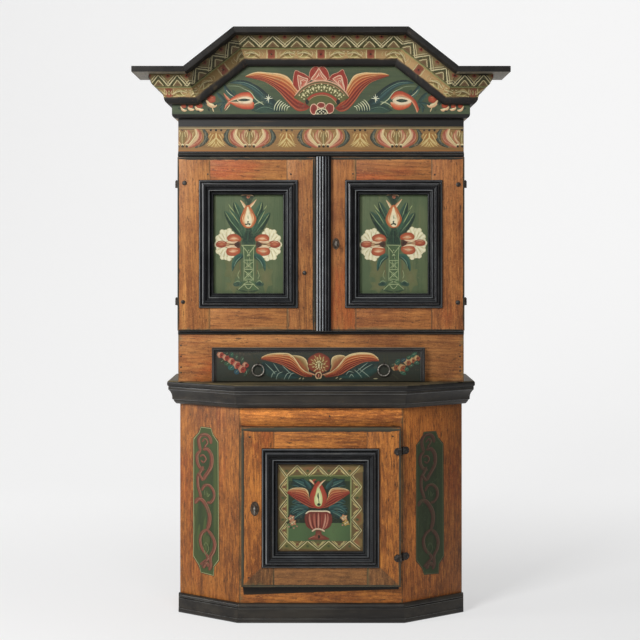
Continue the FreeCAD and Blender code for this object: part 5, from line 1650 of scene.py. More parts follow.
LATTICE = """
even x3 {cream} | 0.615: -7.4 48,7.6 48 | 0.615: -7 48,-1 41,1.6 37 | 0.615: 7 48,1 41,-1.4 37 | 0.574: -5 33,
    5 33 | 0.615: -4.6 23.8,5 23.8 | 0.492: -5 14,5 14 | 0.574: -5.6 9,6 9 | 0.41: -5 32,4.5 24.5 | 0.41: 5 32,
    -4.5 24.5 | 0.656: -4.6 23,4.6 14.5 | 0.656: 4.6 23,-4.6 14.5 | 0.41: -5 13.6,5 9.4 | 0.41: 5 13.6,-5 9.4 |
    0.451: -5.2 47,-4.6 30,-4.8 12 | 0.451: 5.2 47,4.8 30,5 12 | 0.41: -1.4 33,-1.5 24 | 0.41: 1.6 33,1.7 24 |
    0.328: -1.4 42,1.6 33 | 0.574: -10.5 3.5,-4 9.4 | 0.492: 10.5 3.5,4.4 9.4 | 0.492: -4.4 9,0 4.4,4.4 9 |
    0.41: -9 23,-10.5 18,-9 14.5 | 0.41: 9 23,10.5 18,9 14.5
"""
VASE_DOTS = """
dots 0.45 {cream} | 0 20.5,0 16.6,-1.9 18.6,1.9 18.6,0 29.6,0 26.8,0 43
dots 0.7 2a3c30 | 0 40,0 36,0 12
"""
TALL_TULIP = """
blob 22302a 33453a | -6.5 98,5.8 98,4 93.5,-0.5 86.5,-4.8 93
leaf 1.7 ecd9bc d7a48a | -7.8 97.6,-3 98.8,2 98.6,5 97
oval 8c3a30 c27a64 | -0.2 96.4 1.7 1.5
dots 0.6 241a18 | -0.2 96.2,2.2 95.2
drop 2.6 f1e2c4 dca07c | -2.6 84.5,-5 89,-8.2 93.6
drop 3 c97350 f1e2c4 | -3.2 80,1 86,4.4 90,8.2 94.2
blob -0.3 74 f4ead6 f0dcc0 e2b08c cf8258 b8603c | -3.4 86.5,-5.6 81.5,-8.4 74,-5.4 67.4,-0.4 65.2,4.8 67.4,7.6 74,
    5 81,2.4 86,-0.4 88.4
blob f6efdf efdfc4 | -0.6 86.5,-3 79,-4 73,-2.6 67.6,0 66.4,2.4 67.6,3.4 73,1.8 80
leaf 0.8 a8542f | -3.2 84,-6.6 77,-7.2 72,-4.4 67.2 | 2.4 84,5.8 77,6.6 72,4 67.2
leaf 0.8 eec8a4 | -4.4 80,-5.6 75,-4 70 | 3.8 80,4.8 75,3.4 70
leaf 0.8 c87a50 | -1.8 84,-4.4 78,-5.4 73
leaf 0.9 8f9a88 | -0.5 78,-0.3 74
dots 0.95 26352c | -0.6 71.6,-2.3 69,1.1 69,-0.6 69.6
"""
RUFFLED_HEART = """
oval efe0c4 dcb89c | 3.4 0.3 8 3.4
oval -6 0 e6bfa4 cf8462 b35a3e a04a34 | 6.9 6 7.4 4.7
leaf 0.6 a8483a | 1.2 7.6,6 8.8,11.6 7.4
leaf 0.5 efd6c0 | 2 5,7 6.6,12 5.4
leaf 1.2 f3e6d2 e9c8b0 | 0 4,5 2.4,12.6 3.4
oval 8 0 e6c0a4 cf8464 b45c40 a04a34 | 6 -6.4 7.4 5
leaf 0.6 a8483a | 0.6 -7.4,5.6 -9,11 -8
leaf 0.5 efd6c0 | 1.6 -6.2,6 -6.8,11.4 -5.6
leaf 1.2 f3e6d2 ecd2bc | -0.6 -3.4,5 -2.2,12.2 -3.2
oval 3 0 c87e60 ac5440 963e2e | -5.6 0.4 5.9 3.5
leaf 0.5 8c3628 | -10 -0.6,-5.6 -1.6,-1.4 -0.6
leaf 0.7 e2b096 | -9.6 1.6,-5.4 2.9,-1.6 1.6
drop 1.6 5a3a2c 7c5a40 | -1.6 0.6,5 0.2,11 0.4
blob x3 2a1c1a 5a342c | 6.6 0.4,12 3.6,13.4 0,11.6 -3.4
oval c8a486 9c6a50 | 0.6 0.2 2.2 1.5
"""
WORN_BORDER = """
oval 0 0.1 x12 a07a56 86764c | -38 70 6 12
oval 0 0.1 x12 9a6a50 86764c | -37 40 5 10
oval 0 0.1 x12 8a6a50 7a7248 | -37 14 6 12
oval 0 0.1 x12 9a7a58 86764c | 30 82 14 5
oval 0 0.1 x12 7c8052 86764c | 37 62 5 10
oval 0 0.1 x12 8f5038 86764c | 38 33 5 9
oval 0 0.1 x12 8f6048 86764c | -10 82 14 5
oval 0 0.1 x12 5f683c 7a7248 | 0 5 26 4.4
oval 0 0.1 x12 9a6048 86764c | 36 8 6 6
oval 0 0.1 x12 6d7040 86764c | -30 6 8 5
"""
FIELD_EDGES = """
even 1.3 8f9a6c a8ac80 | -33 10,-33 42,-33 75 | 30.2 10,30.2 42,30.2 75
even 1 7f8a5c | -33 75,0 75.2,31 75
"""
SHADED_GROUND = """
oval -14 0.14 x12 1c3238 20383c 1a2c2c | -17 67 10.5 5.6
oval 12 0.14 x12 1c3036 1f363a 1a2c2c | -19 40.5 10 8.4
"""
URN_LEAVES = """
drop {teal} | 7.5: -9 63,-16 66,-26 71 | 5: -8 62,-12 67,-15 72 | 6.5: -10 44,-18 50,-27 49 | 6.5: -10 42,-20 43,
    -29 38 | 5: -11 40,-19 36,-27 30
leaf 0.6 6f8f8a | -12 64,-18 67,-24 70 | -13 46,-19 49,-24 48.6 | -14 42,-21 42,-27 38 | -14 39,-20 36,-25 32
wing 0.4 a8805c b0684c a44a3e 9c3c38 8c302c 7c2a28 | -30.5 60.5,-25 62.6,-15 62.8,-11 59.5,-9 52,-3 44 |
    -31.6 57.8,-24 52.6,-17 48,-9.5 44,-4 43,0 43.4
leaf 0.8 e0c8a4 | -30.5 60.8,-25 62.8,-15.5 63,-11 60,-9.4 53
"""
URN_TULIP = """
leaf 2.4 8c382e b4523f | -2 72,-5.5 69.4,-3 66
drop 1.8 efe0c2 dca888 | -9 71.5,-6 69,-4.4 66.4
blob 0 55 c4604a b24c3a a03c30 | -3 67,-6 62,-8.4 55,-7.4 47.4,-3.4 43.4,0 42.6,4 43.4,7.6 47.6,8.4 55,6 62,3 67,
    0 70
blob eef0cc e0e4b6 c6cf98 | -0.4 65,-2.6 58,-4.2 52,-3.2 46.4,0.2 44.4,3.4 46.6,4 53,2.2 60
tail 2 f0e4c8 c27460 | 7.4 71.5,3 68.4,-1.2 62.5
leaf 1.6 2c3a2a | 0 58.5,-0.4 55,0.4 52
even 0.7 3c4a34 | 0.2 53,0.8 47.5
oval 22302a | 0.4 46.6 1.7 1.5
blob -1 30 9a5048 8c4038 6c2a26 | -13.4 35,-13.4 29,-11.6 24.6,-6.6 21.4,0 20.4,6.6 21.4,11.6 24.6,13.4 29,
    13.4 35,9.8 39.2,0 40,-9.8 39.2
"""
URN_FOOT = """
even 1.3 f0e6d4 dcbfae | -12.6 37.4,-9 39.6,-3 40,3 40,9 39.6,12 38
even 1.5 ecd8c4 d0a898 | -6.4 19.6,-2.5 21.8,2.5 21.8,6.4 19.8
blob 9a5a4a 84443a 6d3830 | -2.6 20,2.8 20,3.6 16.6,10.4 12.8,10 11.6,0 10.9,-9.4 11.6,-9.8 12.8,-3.2 16.6
oval 2c1a16 | 0.6 14.4 1.3 1.9
even 0.5 c08a78 | -9.4 12.4,-3 15.4
"""
LOOSE_LEAVES = """
leaf 1.6 1c2c26 | -30 30,-31 27 | -22.6 30,-21 28 | -27 24.6,-27.6 22.4 | -23 36,-21 36 | 30.5 31,31 29 | 22.6 31,
    21.6 28 | -29 36,-30.4 34
dots 0.8 b8847a | -24.5 23,-29.5 24.4,24 26,-21.5 25
"""


@dataclass
class PanelDoor:
    """A framed door with its fielded panel and mitred moulding."""

    side: str
    ground: Finish
    middle: float
    face: float
    foot: float

    @property
    def body(self) -> str:
        """The door's body."""
        return self.side + "_door"

    def frame_finish(self, centre: Vector, normal: Vector) -> Finish:
        """Stain the frame, black its outer edges and leave its back bare.

        Args:
            centre: a face's middle.
            normal: its direction.

        Returns:
            The face's finish.
        """
        low_x, high_x, low_z, high_z = extent(self.body + "_stiles")
        if normal.y > 0.7:
            return BARE
        rim = min(centre.x - low_x, high_x - centre.x, centre.z - low_z, high_z - centre.z) < 0.0022
        if rim:
            return BLACK
        if normal.y > -0.3:  # the edges towards the panel, seen from behind
            return BARE
        if self.side == "lower":
            return WORN_PINE if centre.z < 0.20 and abs(centre.x) < 0.206 else BASE_PINE
        # the right door's frame takes the darker copy of the stain: painted shade
        return PAINTED_SHADE_PINE if self.side == "right" else PINE

    def moulded(self, centre: Vector, normal: Vector) -> Finish:
        """Paint the moulding's crowns pale, worn paint with a painted highlight that is brighter on the left and
        bottom members, give what looks up or left a lighter black for dust and painted light, and leave its hollows
        black.

        Args:
            centre: a face's middle.
            normal: its direction.

        Returns:
            The face's finish.
        """
        low_x, high_x, low_z, high_z = extent(self.body + "_moulding")
        gaps = (centre.x - low_x, centre.z - low_z, high_x - centre.x, high_z - centre.z)
        share = min(gaps) / MOULDING[self.side]
        # the pale crown lines are worn paint with a painted highlight, brighter on the left and bottom members
        if 0.27 < share < 0.315:
            return WORN_ARRIS_PAINTED_HIGHLIGHT if gaps.index(min(gaps)) < 2 else DIM_WORN_ARRIS_PAINTED_HIGHLIGHT
        if 0.055 < share < 0.10 or 0.69 < share < 0.74:
            return DIM_WORN_ARRIS_PAINTED_HIGHLIGHT
        # faces looking up or left take a lighter black: dust, and painted light
        return DUST_AND_PAINTED_LIGHT_BLACK if normal.z > 0.25 or normal.x < -0.25 else GLOSS_BLACK

    def reeded(self, centre: Vector, normal: Vector) -> Finish:
        """Polish the astragal's hollows and pale its reeds that look front and left, worn paint with a painted
        highlight, brighter on the left half.

        Args:
            centre: a face's middle.
            normal: its direction.

        Returns:
            The face's finish.
        """
        if max(normal.x, normal.y) > -0.3:
            return GLOSS_BLACK
        # painted highlight on the reeds turned to the light, brighter on the left half
        return WORN_ARRIS_PAINTED_HIGHLIGHT if centre.x < 0.008 else DIM_WORN_ARRIS_PAINTED_HIGHLIGHT

    def build(self) -> None:
        """Dress the door's boards."""
        name = self.body
        dress(name + "_stiles", name, self.frame_finish, 1.8)
        dress(name + "_rails", name, self.frame_finish)
        dress(name + "_panel", name, lambda centre, normal: self.ground if normal.y < -0.3 else BARE)
        dress(name + "_moulding", name, self.moulded, 1.0, DIM_WORN_ARRIS_PAINTED_HIGHLIGHT)
        if self.side == "right":
            dress("right_door_astragal", name, self.reeded, 0.7, DIM_WORN_ARRIS_PAINTED_HIGHLIGHT)

    def edging(self) -> None:
        """Paint the worn black strips along the frame's outer edges."""
        low_x, high_x, low_z, high_z = (c / MM for c in extent(self.body + "_stiles"))
        p = Painting(self.body + "_edging", self.body, "5a4a34", MM, front(0.0, FACES[self.body], 0.0), 0.5, 0.5)
        all_widths = {"left": (4.0, 9.5, 3.0, 9.0), "right": (0.0, 4.0, 3.0, 8.0), "lower": (9.0, 5.0, 6.0, 14.0)}
        soot = {"lower": "2c2b28 45443e 57564a"}.get(self.side, "1f1e1c 2b2b26 3a3a30")
        for number, width in enumerate(all_widths[self.side]):
            if width:
                inset = width / 2 + 1.7
                fixed = (low_x + inset, high_x - inset, low_z + inset, high_z - inset)[number]
                ends = ((fixed, high_z - 2), (fixed, low_z + 2))
                if number > 1:
                    ends = ((low_x + 2, fixed), (high_x - 2, fixed))
                order = soot if number in (0, 2) else " ".join(reversed(soot.split()))
                p.line(between(*ends, 27), width, order, Press.EVEN, 5)
        p.done()

    def paint(self) -> None:
        """Paint the panel: a vase of flowers above, a footed urn in a bordered square below."""
        self.edging()
        if self.side == "lower":
            self.urn()
        else:
            self.vase()

    def vase(self) -> None:
        """Paint a latticed vase with a tall tulip, long leaves and two ruffled side flowers."""
        lay = front(self.middle, self.face, self.foot)
        p = Painting(self.body + "_painting", self.body, "5f6b4e", 3.489e-3, lay, 0.38)
        p.wobble = 0.25
        # on the right door the leaves and the lattice are darker copies of the left's colours: painted shade
        right_shaded = self.side == "right"
        p.draw(WORN_GROUND)
        leaf = "1c3027 2c4838 46695a" if not right_shaded else "1b2c28 283f38 3c5a52"
        other = " ".join(reversed(leaf.split()))
        p.draw(LONG_LEAVES, leaf=leaf, other=other)
        self.tulip(p)
        for mirror in (False, True):
            p.at(-21.4 if not mirror else 20.6, 48.6 + (1.5 if mirror and right_shaded else 0), mirror=mirror)
            self.ruffled(p)
            p.at(0, 0, mirror=mirror)
            p.draw(HANDLE)
        p.at()
        sides = ((-7, 7.2), (-5.4, 5.6), (-4.6, 4.8), (-4.8, 5), (-6, 6), (-10, 10))
        for k, (above, below) in enumerate(zip(sides, sides[1:])):
            top = 48 - 9 * k
            levels = ((above, top), ([(a + b) / 2 for a, b in zip(above, below)], top - 4.5), (below, top - 9))
            rows = [between((low, y), (high, y), 9) for (low, high), y in levels]
            p.sheet(rows, p.blend("47624c 4a5c40 50684c 465a42 55704f 445c44", 9), 0.12)
        cream = "aebb98" if right_shaded else "b9c29e"
        p.draw(LATTICE, cream=cream)
        p.draw(VASE_DOTS, cream=cream)
        p.done()

    def tulip(self, p: Painting) -> None:
        """Paint the tall tulip with its crossed tips.

        Args:
            p: the painting.
        """
        p.at(0.4 if self.side == "right" else 0, 0)
        p.draw(TALL_TULIP)
        p.at()

    @staticmethod
    def ruffled(p: Painting) -> None:
        """Paint a side flower: white ruffled lobes with three red dabs, open towards the stem.

        Args:
            p: the painting.
        """
        for number in range(15):
            angle = math.radians(64 + 16.6 * number)
            reach = 12.6 + (1.4 if number % 2 else 0) + 2.0 * abs(math.sin(angle)) ** 3
            cos, sin = math.cos(angle) * 0.92, math.sin(angle) * 1.06
            lobe = [(r * cos, r * sin) for r in (3, reach * 0.6, reach)]
            p.line(lobe, 5.4, "d9ceae f1ead6 f4efdf e3d8bc", Press.TAIL, 6)
        for number in range(22):
            angle = math.radians(60 + 11.2 * number)
            cos, sin = math.cos(angle) * 0.92, math.sin(angle) * 1.06
            code = "b8ab86" if number % 2 else "faf6ea"
            p.line([(r * cos, r * sin) for r in (5.4, 9.6, 12.4)], 0.55, code, Press.LEAF)
        p.draw(RUFFLED_HEART)

    def urn(self) -> None:
        """Paint the lower panel: a zigzag border round an urn with a red tulip and wings."""
        lay = front(self.middle, self.face, self.foot)
        p = Painting(self.body + "_painting", self.body, "454a33", 3.4325e-3, lay, 0.42)
        p.wobble = 0.18
        left, right, low, high = -42.6, 42.2, 0.0, 86.8
        clip = lambda x: max(left + 0.6, min(right - 0.6, x))
        p.polygon([(left, low), (right, low), (right, high), (left, high)], "625a3a 6e6040 745c40")
        p.draw(WORN_BORDER)
        moved = lambda c, inward, by: (c[0] + inward[0] * by, c[1] + inward[1] * by)
        level = lambda near, far: [(clip(-44.4 + 10.5 * i), near if i % 2 else far) for i in range(9)]
        upright = lambda near, far: [(near if i % 2 else far, 75 - 10.9 * i) for i in range(7)]
        chains = [level(75, 86), level(10, 1), upright(-41.6, -33), upright(41.2, 32)]
        for number, chain in enumerate(chains):
            inward = ((0, -3), (0, 3), (2.8, 0), (-2.8, 0))[number]
            for k, (a, b) in enumerate(zip(chain, chain[1:])):
                p.line(between(a, b, 4), 0.8, "ddd2a6 ece2bc")
                for by, width, codes in ((0.8, 0.65, "d4c698"), (0.4, 0.9, "4a4228 3a3a24")):
                    p.line(between(moved(a, inward, by), moved(b, inward, by), 4), width, codes)
                if k % 2:
                    middle = ((a[0] + b[0]) / 2, (a[1] + b[1]) / 2)
                    p.line(between(moved(middle, inward, 0.5), moved(a, inward, 0.5), 4), 0.7, "5a4530")
            for k, a in enumerate(chain[1:-1]):
                outer = (k % 2 == 0) == (number > 1)
                if outer:
                    dx, dy = inward[0] / 3 * 6.2, inward[1] / 3 * 6.2
                    tips = [(a[0] + dx * 1.5 + by * dy, a[1] + dy * 1.5 + by * dx) for by in (-0.9, 0.9)]
                    p.line([tips[0], moved(a, (dx, dy), 0.75), tips[1]], 0.8, "d9cb98")
                by, codes = (1.9, "6b3f30 8a6248") if outer else (-1.7, "3f4a30 5c6240")
                p.oval(*moved(a, inward, by), 1.7, 1.3, codes, sides=6)
        p.polygon([(-33, 10), (30, 10), (30, 74.5), (-33, 74.5)], "1e2a26 222e24 2e3c2a")
        for levels, codes in (((10, 16, 22, 28), "55704e 4d6647 5a7450 4a6345"),
                ((70, 72, 74.5), "4d5f3c 445638 4f613e")):
            p.sheet([[(x, y) for x in (-33, -22, -11, 0, 11, 21, 30)] for y in levels], p.blend(codes, 7), 0.06)
        p.draw(FIELD_EDGES)
        self.urn_flowers(p)
        p.done()

    @staticmethod
    def urn_flowers(p: Painting) -> None:
        """Paint the urn, its tulip, wings, leaves and small side flowers.

        Args:
            p: the painting.
        """
        teal = "172a30 24424a 3c6468"
        for mirror in (False, True):
            p.at(-2.0, 0, mirror=mirror)
            p.draw(SHADED_GROUND)
            for k in range(6):
                upper = ray(118 + 12 * k, (-6, 60, 5, 4), (-6, 60, 14, 10), (-7, 60, 22, 13.6))
                lower = ray(152 + 13 * k, (-8, 43, 5, 3), (-8, 43, 14, 8), (-8, 42, 21, 13))
                p.line(upper, 1.0, "4a7278 2f5058", Press.LEAF)
                p.line(lower, 1.0, "4a7278 2f5058", Press.LEAF)
            p.draw(URN_LEAVES, teal=teal)
        p.at(-2.2, 0)
        p.draw(URN_TULIP)
        for x, top, code in ((-10.8, 36, "5c2422"), (-8.6, 37.6, "c07c70"), (-6.2, 38.2, "5c2422"),
                (-4, 38.4, "b0685c"), (-2, 38.6, "4c1e1c"), (0, 38.6, "c4887c"), (2, 38.6, "5c2422"),
                (4.4, 38.4, "7c342e"), (6.8, 37.8, "cc9488"), (9.2, 37.2, "c07c70"), (11, 36, "7c3430")):
            width = 1.5 if code[0] in "bc" else 1.0
            p.line([(x, top), (x * 1.02, 32), (x * 0.82, 25), (x * 0.55, 21.8)], width, code, Press.LEAF)
        p.draw(URN_FOOT)
        for x, y, codes in ((-27, 33, "d8b8a0 a85a48"), (-25.4, 28.6, "e3c8a8 b06a50"), (25.6, 33.4, "e6d2b0 b87a5a"),
                (28, 28.4, "d9c08a a8843c")):
            p.oval(x, y, 3.3, 3.0, codes, ruffle=0.22, sides=10)
            p.oval(x, y, 1.1, 1.0, "2a1c18")
            p.line([(x - 2.8, y - 2), (x + 2.8, y + 1.8)], 0.6, "efe2c4", Press.LEAF)
        p.draw(LOOSE_LEAVES)


DRAWER_LEAVES = """
loft 0.12 x9 24393c 1d3034 2a4448 1f3330 | -56.5 19.5,-44 18,-28 10.5,-18 4.5 | -56.5 10,-49 4,-33 1.4,-20 2.6
loft 0.12 x9 24393c 1d3034 2a4a4c 1f3330 | 61 20.5,47 19.5,33 12,20 5.5 | 59 9,50 3.4,36 1.6,22 3
leaf 0.8 8fa3a0 | -53 18,-45 10,-42.5 6.5 | -45 18,-41 12.5,-38.6 9 | -36 16,-31 11,-27 7 | -42 1.4,-40 7,
    -35 9.4 | -34 1.2,-31 7,-26.6 8.6 | -30 1.4,-27 7,-23.4 8 | -47 3,-45 7.6,-41 10 | 55 17,47 12.5,41 7.5 |
    50 18.6,44 14,38 9 | 36 11.6,40 8,44 3 | 31 3.4,33.4 6.6,36 3.4 | 40 13,46 8.4,52 3.6 | 28 6,31 9.6,36 8.4
leaf 1 a8a48c | -19 1.6,-17 3.4 | -15.4 1.4,-14.4 3.4 | 17.4 2,20 4 | 21 1.6,23.6 2.6 | 55 2.4,60 2.4
"""
DRAWER_WINGS = """
wing 0.6 {rust} | -56.6 23.6,-50 26.6,-36 27.6,-26 25.4,-16 11.5,-6 6.4 | -57 21.8,-38 17,-26 10,-15 4.6,-6 4.2
loft x8 c8b088 8f744c 9c5a3a 964c34 | -26 25.6,-19 24.6,-14 22.6,-11 18,-9 9 | -26 24,-21 19,-16 12,-9 7.6
wing 0.6 {rust} | 61 20.8,58 25,52 27.6,39 27.6,28 24,18 12,6 5.6 | 61 19.8,45 18.6,32 11.8,22 6,8 3.6
loft x8 c8b088 a06a48 964c34 | 28 24.6,22 25.2,14.6 22.6,13.6 15,11 8 | 28 23.4,22 17.5,16 11,10 7
leaf 1 e6cfa8 | -56.4 23,-50 26.4,-36 27.7,-26 25.2,-16 12,-6 6.6 | -26 25.8,-18 24.8,-13 22,-10.6 17,-9 10 |
    60.6 21.2,57 25.2,51 27.7,39 27.8,28 24.2,18 12.4,7 6 | 28 24.6,21 25.6,14.4 22.8,13.2 15
oval 0 0.03 x12 7c6a42 80663e 8a4c34 8f4432 74342a | 1 17.6 11.6 10.4
"""
FIR_CONE = """
leaf 1.3 f0e6c0 | 0.8 12.4,1 15,1.2 19
leaf 1.2 d89a80 | -10 9,-5 6.6,-2.6 6 | 12.4 9,7 6.8,4 6
oval 0 0.03 d8b898 | 0.6 5.6 3.5 3.6
oval 6b342a 5a2a22 | 0.6 5.6 2.4 2.5
leaf 1.1 c88a74 | 0.6 3.8,0.6 7.2
oval 1e3a2c | 0.8 1.6 1.8 0.8
"""
GARLAND_LEAFLETS = """
-91 27.4 1.9 2.2 0 | 1c2420 2a332c
-86 26.4 1.7 2.5 0 | 1e3c34 2a5044
-81.2 24 1.8 2.8 0 | 26332c 36443a
-75.6 21.4 1.9 3.4 10 | 26332c 36443a
-96 19.6 3 1.8 10 | 22281f 303828
-90.6 17 3.2 2 -20 | 23382c 2f4a38
-86.6 13.4 3.3 2.6 0 | 1f4044 2c5658
-81.4 9.2 2.6 2.6 0 | 1f3a4c 2a4a60
-71.4 8.6 1.6 4.6 -35 | 22302a 33453a
79.6 19 3.2 2.2 60 | 173a34 24504a
85.4 20.8 3 1.8 15 | 1c2c34 24384a
91 23.4 2.8 1.8 30 | 1f3a30 2c4a3c
96 26.6 4 1.8 50 | 1f4036 2c5044
98.6 18.2 2.8 1.8 -10 | 22403a 2c4a40
93.4 15.4 2.6 1.5 30 | 22302a 33453a
88.6 11.8 2.2 2 0 | 1f4036 2c5044
85 8 3.4 1.8 -20 | 1f4036 2c5044
74.6 15.6 2.6 1.6 40 | 2a332c 3a4238
"""
GARLAND_TIPS = """
leaf 1.3 2a2b22 34352a | -66 28,-65 22,-62 16 | -63 27,-60 20,-57 17.5 | -72 4,-68 8,-66 13 | 66 27.5,66.4 20,
    66 15 | 69 27,69.6 18,68.6 12 | 74 7.6,78 4,81 1.6 | 72 14,76 16
"""


@dataclass
class Drawer:
    """The drawer: painted front with black strips, dovetailed sides and back."""

    body: str = "drawer"
    face: float = -0.1003

    def build(self) -> None:
        """Dress the drawer's boards."""
        dress("drawer_front", self.body, lambda centre, normal: NIGHT if normal.y < -0.3 else BARE)
        for node in ("drawer_sides", "drawer_back", "drawer_bottom"):
            dress(node, self.body, BARE, 0.6)
        dress("drawer_strips", self.body, BLACK, 0.8, BLACK_ARRIS_WEAR_AND_HIGHLIGHT)

    def paint(self) -> None:
        """Paint the front: a fan between two wings over dark leaves, and garlands at both ends."""
        p = Painting("drawer_painting", self.body, "474536", 3.4846e-3, front(-0.0105, self.face, 0.8245), 0.38)
        p.wobble = 0.2
        p.draw(DRAWER_LEAVES)
        rust = "c08a5c b8683e a8522f a04a30 8c3a2a 7c3024 94402c"
        p.draw(DRAWER_WINGS, rust=rust)
        for rx, ry, low, code in ((3.0, 4.2, 150, "e6dab0"), (5.8, 7.4, 150, "cdbb88"), (8.2, 9.2, 110, "b89a6c")):
            # short dashes in three rings, like an open fir cone
            for angle in range(-low, low + 1, 30):
                a = math.radians(angle + rx * 3)
                x, y = math.sin(a), math.cos(a)
                p.line([(1 + rx * 0.72 * x, 15.6 + ry * 0.70 * y), (1 + rx * x, 15.6 + ry * y),
                    (1 + rx * 1.2 * x - 0.4, 15.8 + ry * 1.16 * y)], 1.15, code, Press.LEAF)
        p.draw(FIR_CONE)
        reds = "-97 26 3.2, -91.6 23.2 3.2, -86 19.6 3.3, -80.6 15.8 3.8, -75.4 11.6 3.6, -72 16 2.6"
        buffs = "77.6 13.6 3.4, 84.6 12.6 4.0, 90 18.4 3.2, 95 20.6 2.8, 99.4 23 2.7"
        for places, rim, heart in ((reds, "dcb8a0 b06a5c", "a8443c 8c342f"),
                (buffs, "dcc098 a8805c", "a05c3e 8a4830")):
            for x, y, r in points(places):
                p.oval(x - 0.9, y + 0.4, r, r * 1.02, rim, ruffle=0.08, sides=10)
                p.oval(x + 0.8, y - 0.5, r * 0.78, r * 0.82, heart)
                p.oval(x + 0.6, y - 0.2, 0.8, 0.8, "5a2620")
        p.age = 0.95
        for row in rows_of(GARLAND_LEAFLETS):
            place, codes = row.split("|")
            x, y, rx, ry, turn = points(place)[0]
            p.oval(x, y, rx, ry, codes, turn)
            p.line([(x - rx * 0.4, y - ry * 0.3), (x + rx * 0.4, y + ry * 0.5)], 0.4, "7d9484", Press.LEAF)
        p.draw(GARLAND_TIPS)
        p.done()


@dataclass
class Ironwork:
    """Hinges, locks, keys, rings and the latch, and the nails driven through the boards."""

    finish: Finish = IRON
    clenched: str = """
        left_door -0.4753 1.5143, left_door -0.4806 1.0999, left_door -0.0575 1.2009, right_door 0.4781 1.5091,
        right_door 0.4764 1.0982"""
    small: str = """
        upper_case -0.4905 0.8515, upper_case -0.4905 0.871, upper_case -0.4905 0.9085, upper_case -0.4905 0.9468,
        upper_case 0.4868 0.8573, upper_case 0.4868 0.8713, upper_case 0.4868 0.9081, upper_case 0.4868 0.9466,
        base 0.030 0.7085, drawer -0.1879 0.9335, drawer 0.352 0.934, left_door -0.394 1.545,
        left_door -0.105 1.545, right_door 0.111 1.546, right_door 0.396 1.543, lower_door -0.245 0.640,
        lower_door 0.246 0.642, lower_door -0.247 0.158"""

    def build(self) -> None:
        """Give every iron node its forged finish and drive the nails."""
        for name, piece in frame["nodes"].items():
            if any(word in name for word in ("hinge", "lock", "key", "ring", "latch")) and not piece.hide_render:
                piece.data.materials.clear()
                handled, locked = name.endswith(("_key", "pull_ring")), name.endswith("_lock")
                shown = KEY_IRON if handled else LOCK_IRON if locked else self.finish
                piece.data.materials.append(shown.material())
                log.info("finished %s", name)
        kinds = (("clenched_nail", self.clenched, 0.0078, 0.0042), ("board_nail", self.small, 0.0032, 0.0012))
        for kind, places, radius, rise in kinds:
            model = self.head(radius, rise)
            for number, words in enumerate(place.split() for place in places.split(",")):
                on, x, z = words[0], float(words[1]), float(words[2])
                place = (x, FACES[on], z)
                body = on if on in frame["bodies"] else "carcass"
                wide = random.Random(f"{kind}{number}").uniform(0.9, 1.1)
                mesh = model.data.copy()
                mesh.transform(Matrix.Translation(place) @ Matrix.Diagonal((wide, 1, wide, 1)))
                nail = stand(f"{kind}_{number}", mesh)
                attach(nail, body)
            bpy.data.objects.remove(model)

    @staticmethod
    def head(radius: float, rise: float) -> bpy.types.Object:
        """Model one hand-forged nail head, faceted and domed, its rim let into the board.

        Args:
            radius: half the head's width.
            rise: how far it stands out.

        Returns:
            The head, looking to the front from the origin.
        """
        bpy.ops.object.select_all(action="DESELECT")
        bpy.ops.mesh.primitive_cylinder_add(vertices=8, radius=radius, depth=rise, rotation=(math.radians(90), 0, 0))
        head = bpy.context.object
        bpy.ops.object.transform_apply(location=True, rotation=True, scale=True)
        bpy.ops.object.mode_set(mode="EDIT")
        shape = bmesh.from_edit_mesh(head.data)
        bpy.ops.mesh.select_all(action="DESELECT")
        for face in shape.faces:
            face.select_set(face.normal.y < -0.9)
        bmesh.update_edit_mesh(head.data)
        bpy.ops.mesh.inset(thickness=radius * 0.34, depth=rise * 0.34)
        bpy.ops.mesh.inset(thickness=radius * 0.34, depth=rise * 0.14)
        bpy.ops.mesh.select_all(action="SELECT")
        bpy.ops.mesh.normals_make_consistent(inside=False)
        bpy.ops.object.mode_set(mode="OBJECT")
        soft = head.modifiers.new("worn", "BEVEL")
        soft.width, soft.segments = radius * 0.06, 2
        bpy.ops.object.modifier_apply(modifier="worn")
        bpy.ops.object.shade_smooth_by_angle(angle=math.radians(40))
        head.data.materials.append(IRON.material())
        return head


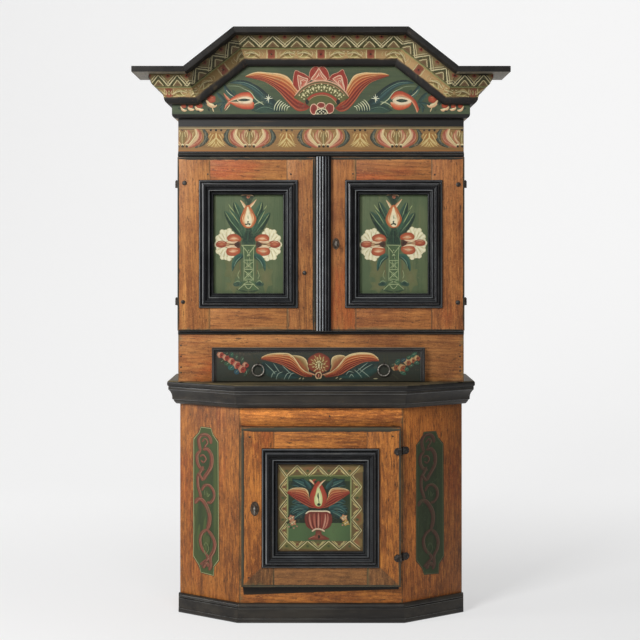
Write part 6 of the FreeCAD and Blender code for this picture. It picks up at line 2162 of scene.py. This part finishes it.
@dataclass
class Studio:
    """Camera, lamps and paper."""

    eye: tuple[float, float, float] = (0.0, -4.7105, 1.281)
    lens: float = 74.42
    shift: tuple[float, float] = (-1 / 640, -70 / 640)

    def build(self) -> None:
        """Set the camera, the lamps, the world and the paper sweep."""
        data = bpy.data.cameras.new("view")
        data.lens, data.sensor_width = self.lens, 36.0
        data.shift_x, data.shift_y = self.shift
        camera = stand("view", data)
        camera.location = self.eye
        camera.rotation_euler = (math.radians(90), 0, 0)
        bpy.context.scene.camera = camera
        bpy.context.scene.view_settings.view_transform = "Standard"
        self.lamp("key", (-2.35, -3.35, 3.15), (0.05, 0, 1.15), 1.5, 165)
        self.lamp("side", (-3.6, -1.1, 1.5), (0, 0, 1.1), 0.9, 40)
        self.lamp("fill", (1.2, -4.8, 4.2), (0, 0, 0.9), 2.4, 66)
        world = bpy.data.worlds.new("room")
        bpy.context.scene.world = world
        world.use_nodes = True
        world.node_tree.nodes.clear()
        back = put(world.node_tree, "Background", {"Color": linear("#ffffff"), "Strength": 0.25})
        put(world.node_tree, "OutputWorld", {"Surface": back.outputs[0]})
        self.sweep()

    @staticmethod
    def lamp(name: str, place: tuple[float, float, float], aim: tuple[float, float, float], size: float,
            power: float) -> None:
        """Hang a soft square lamp.

        Args:
            name: its name.
            place: where it hangs.
            aim: what it points at.
            size: its side in metres.
            power: its power in watts.
        """
        data = bpy.data.lights.new(name, "AREA")
        data.shape, data.size, data.energy = "SQUARE", size, power
        lamp = stand(name, data)
        lamp.location = place
        lamp.rotation_euler = (Vector(aim) - Vector(place)).to_track_quat("-Z", "Y").to_euler()

    @staticmethod
    def sweep() -> None:
        """Lay the paper: a floor that curves up into the backdrop."""
        bpy.ops.object.select_all(action="DESELECT")
        bpy.ops.mesh.primitive_plane_add(size=16, location=(0, -5.6, 0))
        paper = bpy.context.object
        paper.name = "paper_sweep"
        bpy.ops.object.mode_set(mode="EDIT")
        shape = bmesh.from_edit_mesh(paper.data)
        bpy.ops.mesh.select_all(action="DESELECT")
        for edge in shape.edges:
            edge.select_set(all(v.co.y > 7.9 for v in edge.verts))
        bmesh.update_edit_mesh(paper.data)
        bpy.ops.mesh.spin(steps=32, angle=math.radians(90), center=(0, 2.4, 3.4), axis=(-1, 0, 0))
        bpy.ops.mesh.extrude_region_move(TRANSFORM_OT_translate={"value": (0, 0, 6)})
        bpy.ops.mesh.select_all(action="SELECT")
        bpy.ops.mesh.normals_make_consistent(inside=False)
        bpy.ops.object.mode_set(mode="OBJECT")
        bpy.ops.object.transform_apply(location=True, rotation=True, scale=True)
        bpy.ops.object.shade_smooth()
        paper.data.materials.append(PAPER.material())


def main() -> None:
    """Build the cupboard's looks in order."""
    Studio().build()
    assemblies = [
        BaseCase(),
        UpperCase(),
        Crown(),
        PanelDoor("left", GREEN, -0.25275, -0.0943, 1.130),
        PanelDoor("right", GREEN, 0.2535, -0.0943, 1.130),
        PanelDoor("lower", LOWER_GREEN, -0.0015, -0.1693, 0.248),
        Drawer(),
    ]
    for assembly in assemblies:
        assembly.build()
        assembly.paint()
    Ironwork().build()


if __name__ == "__main__":
    logging.basicConfig(level=logging.INFO)
    main()
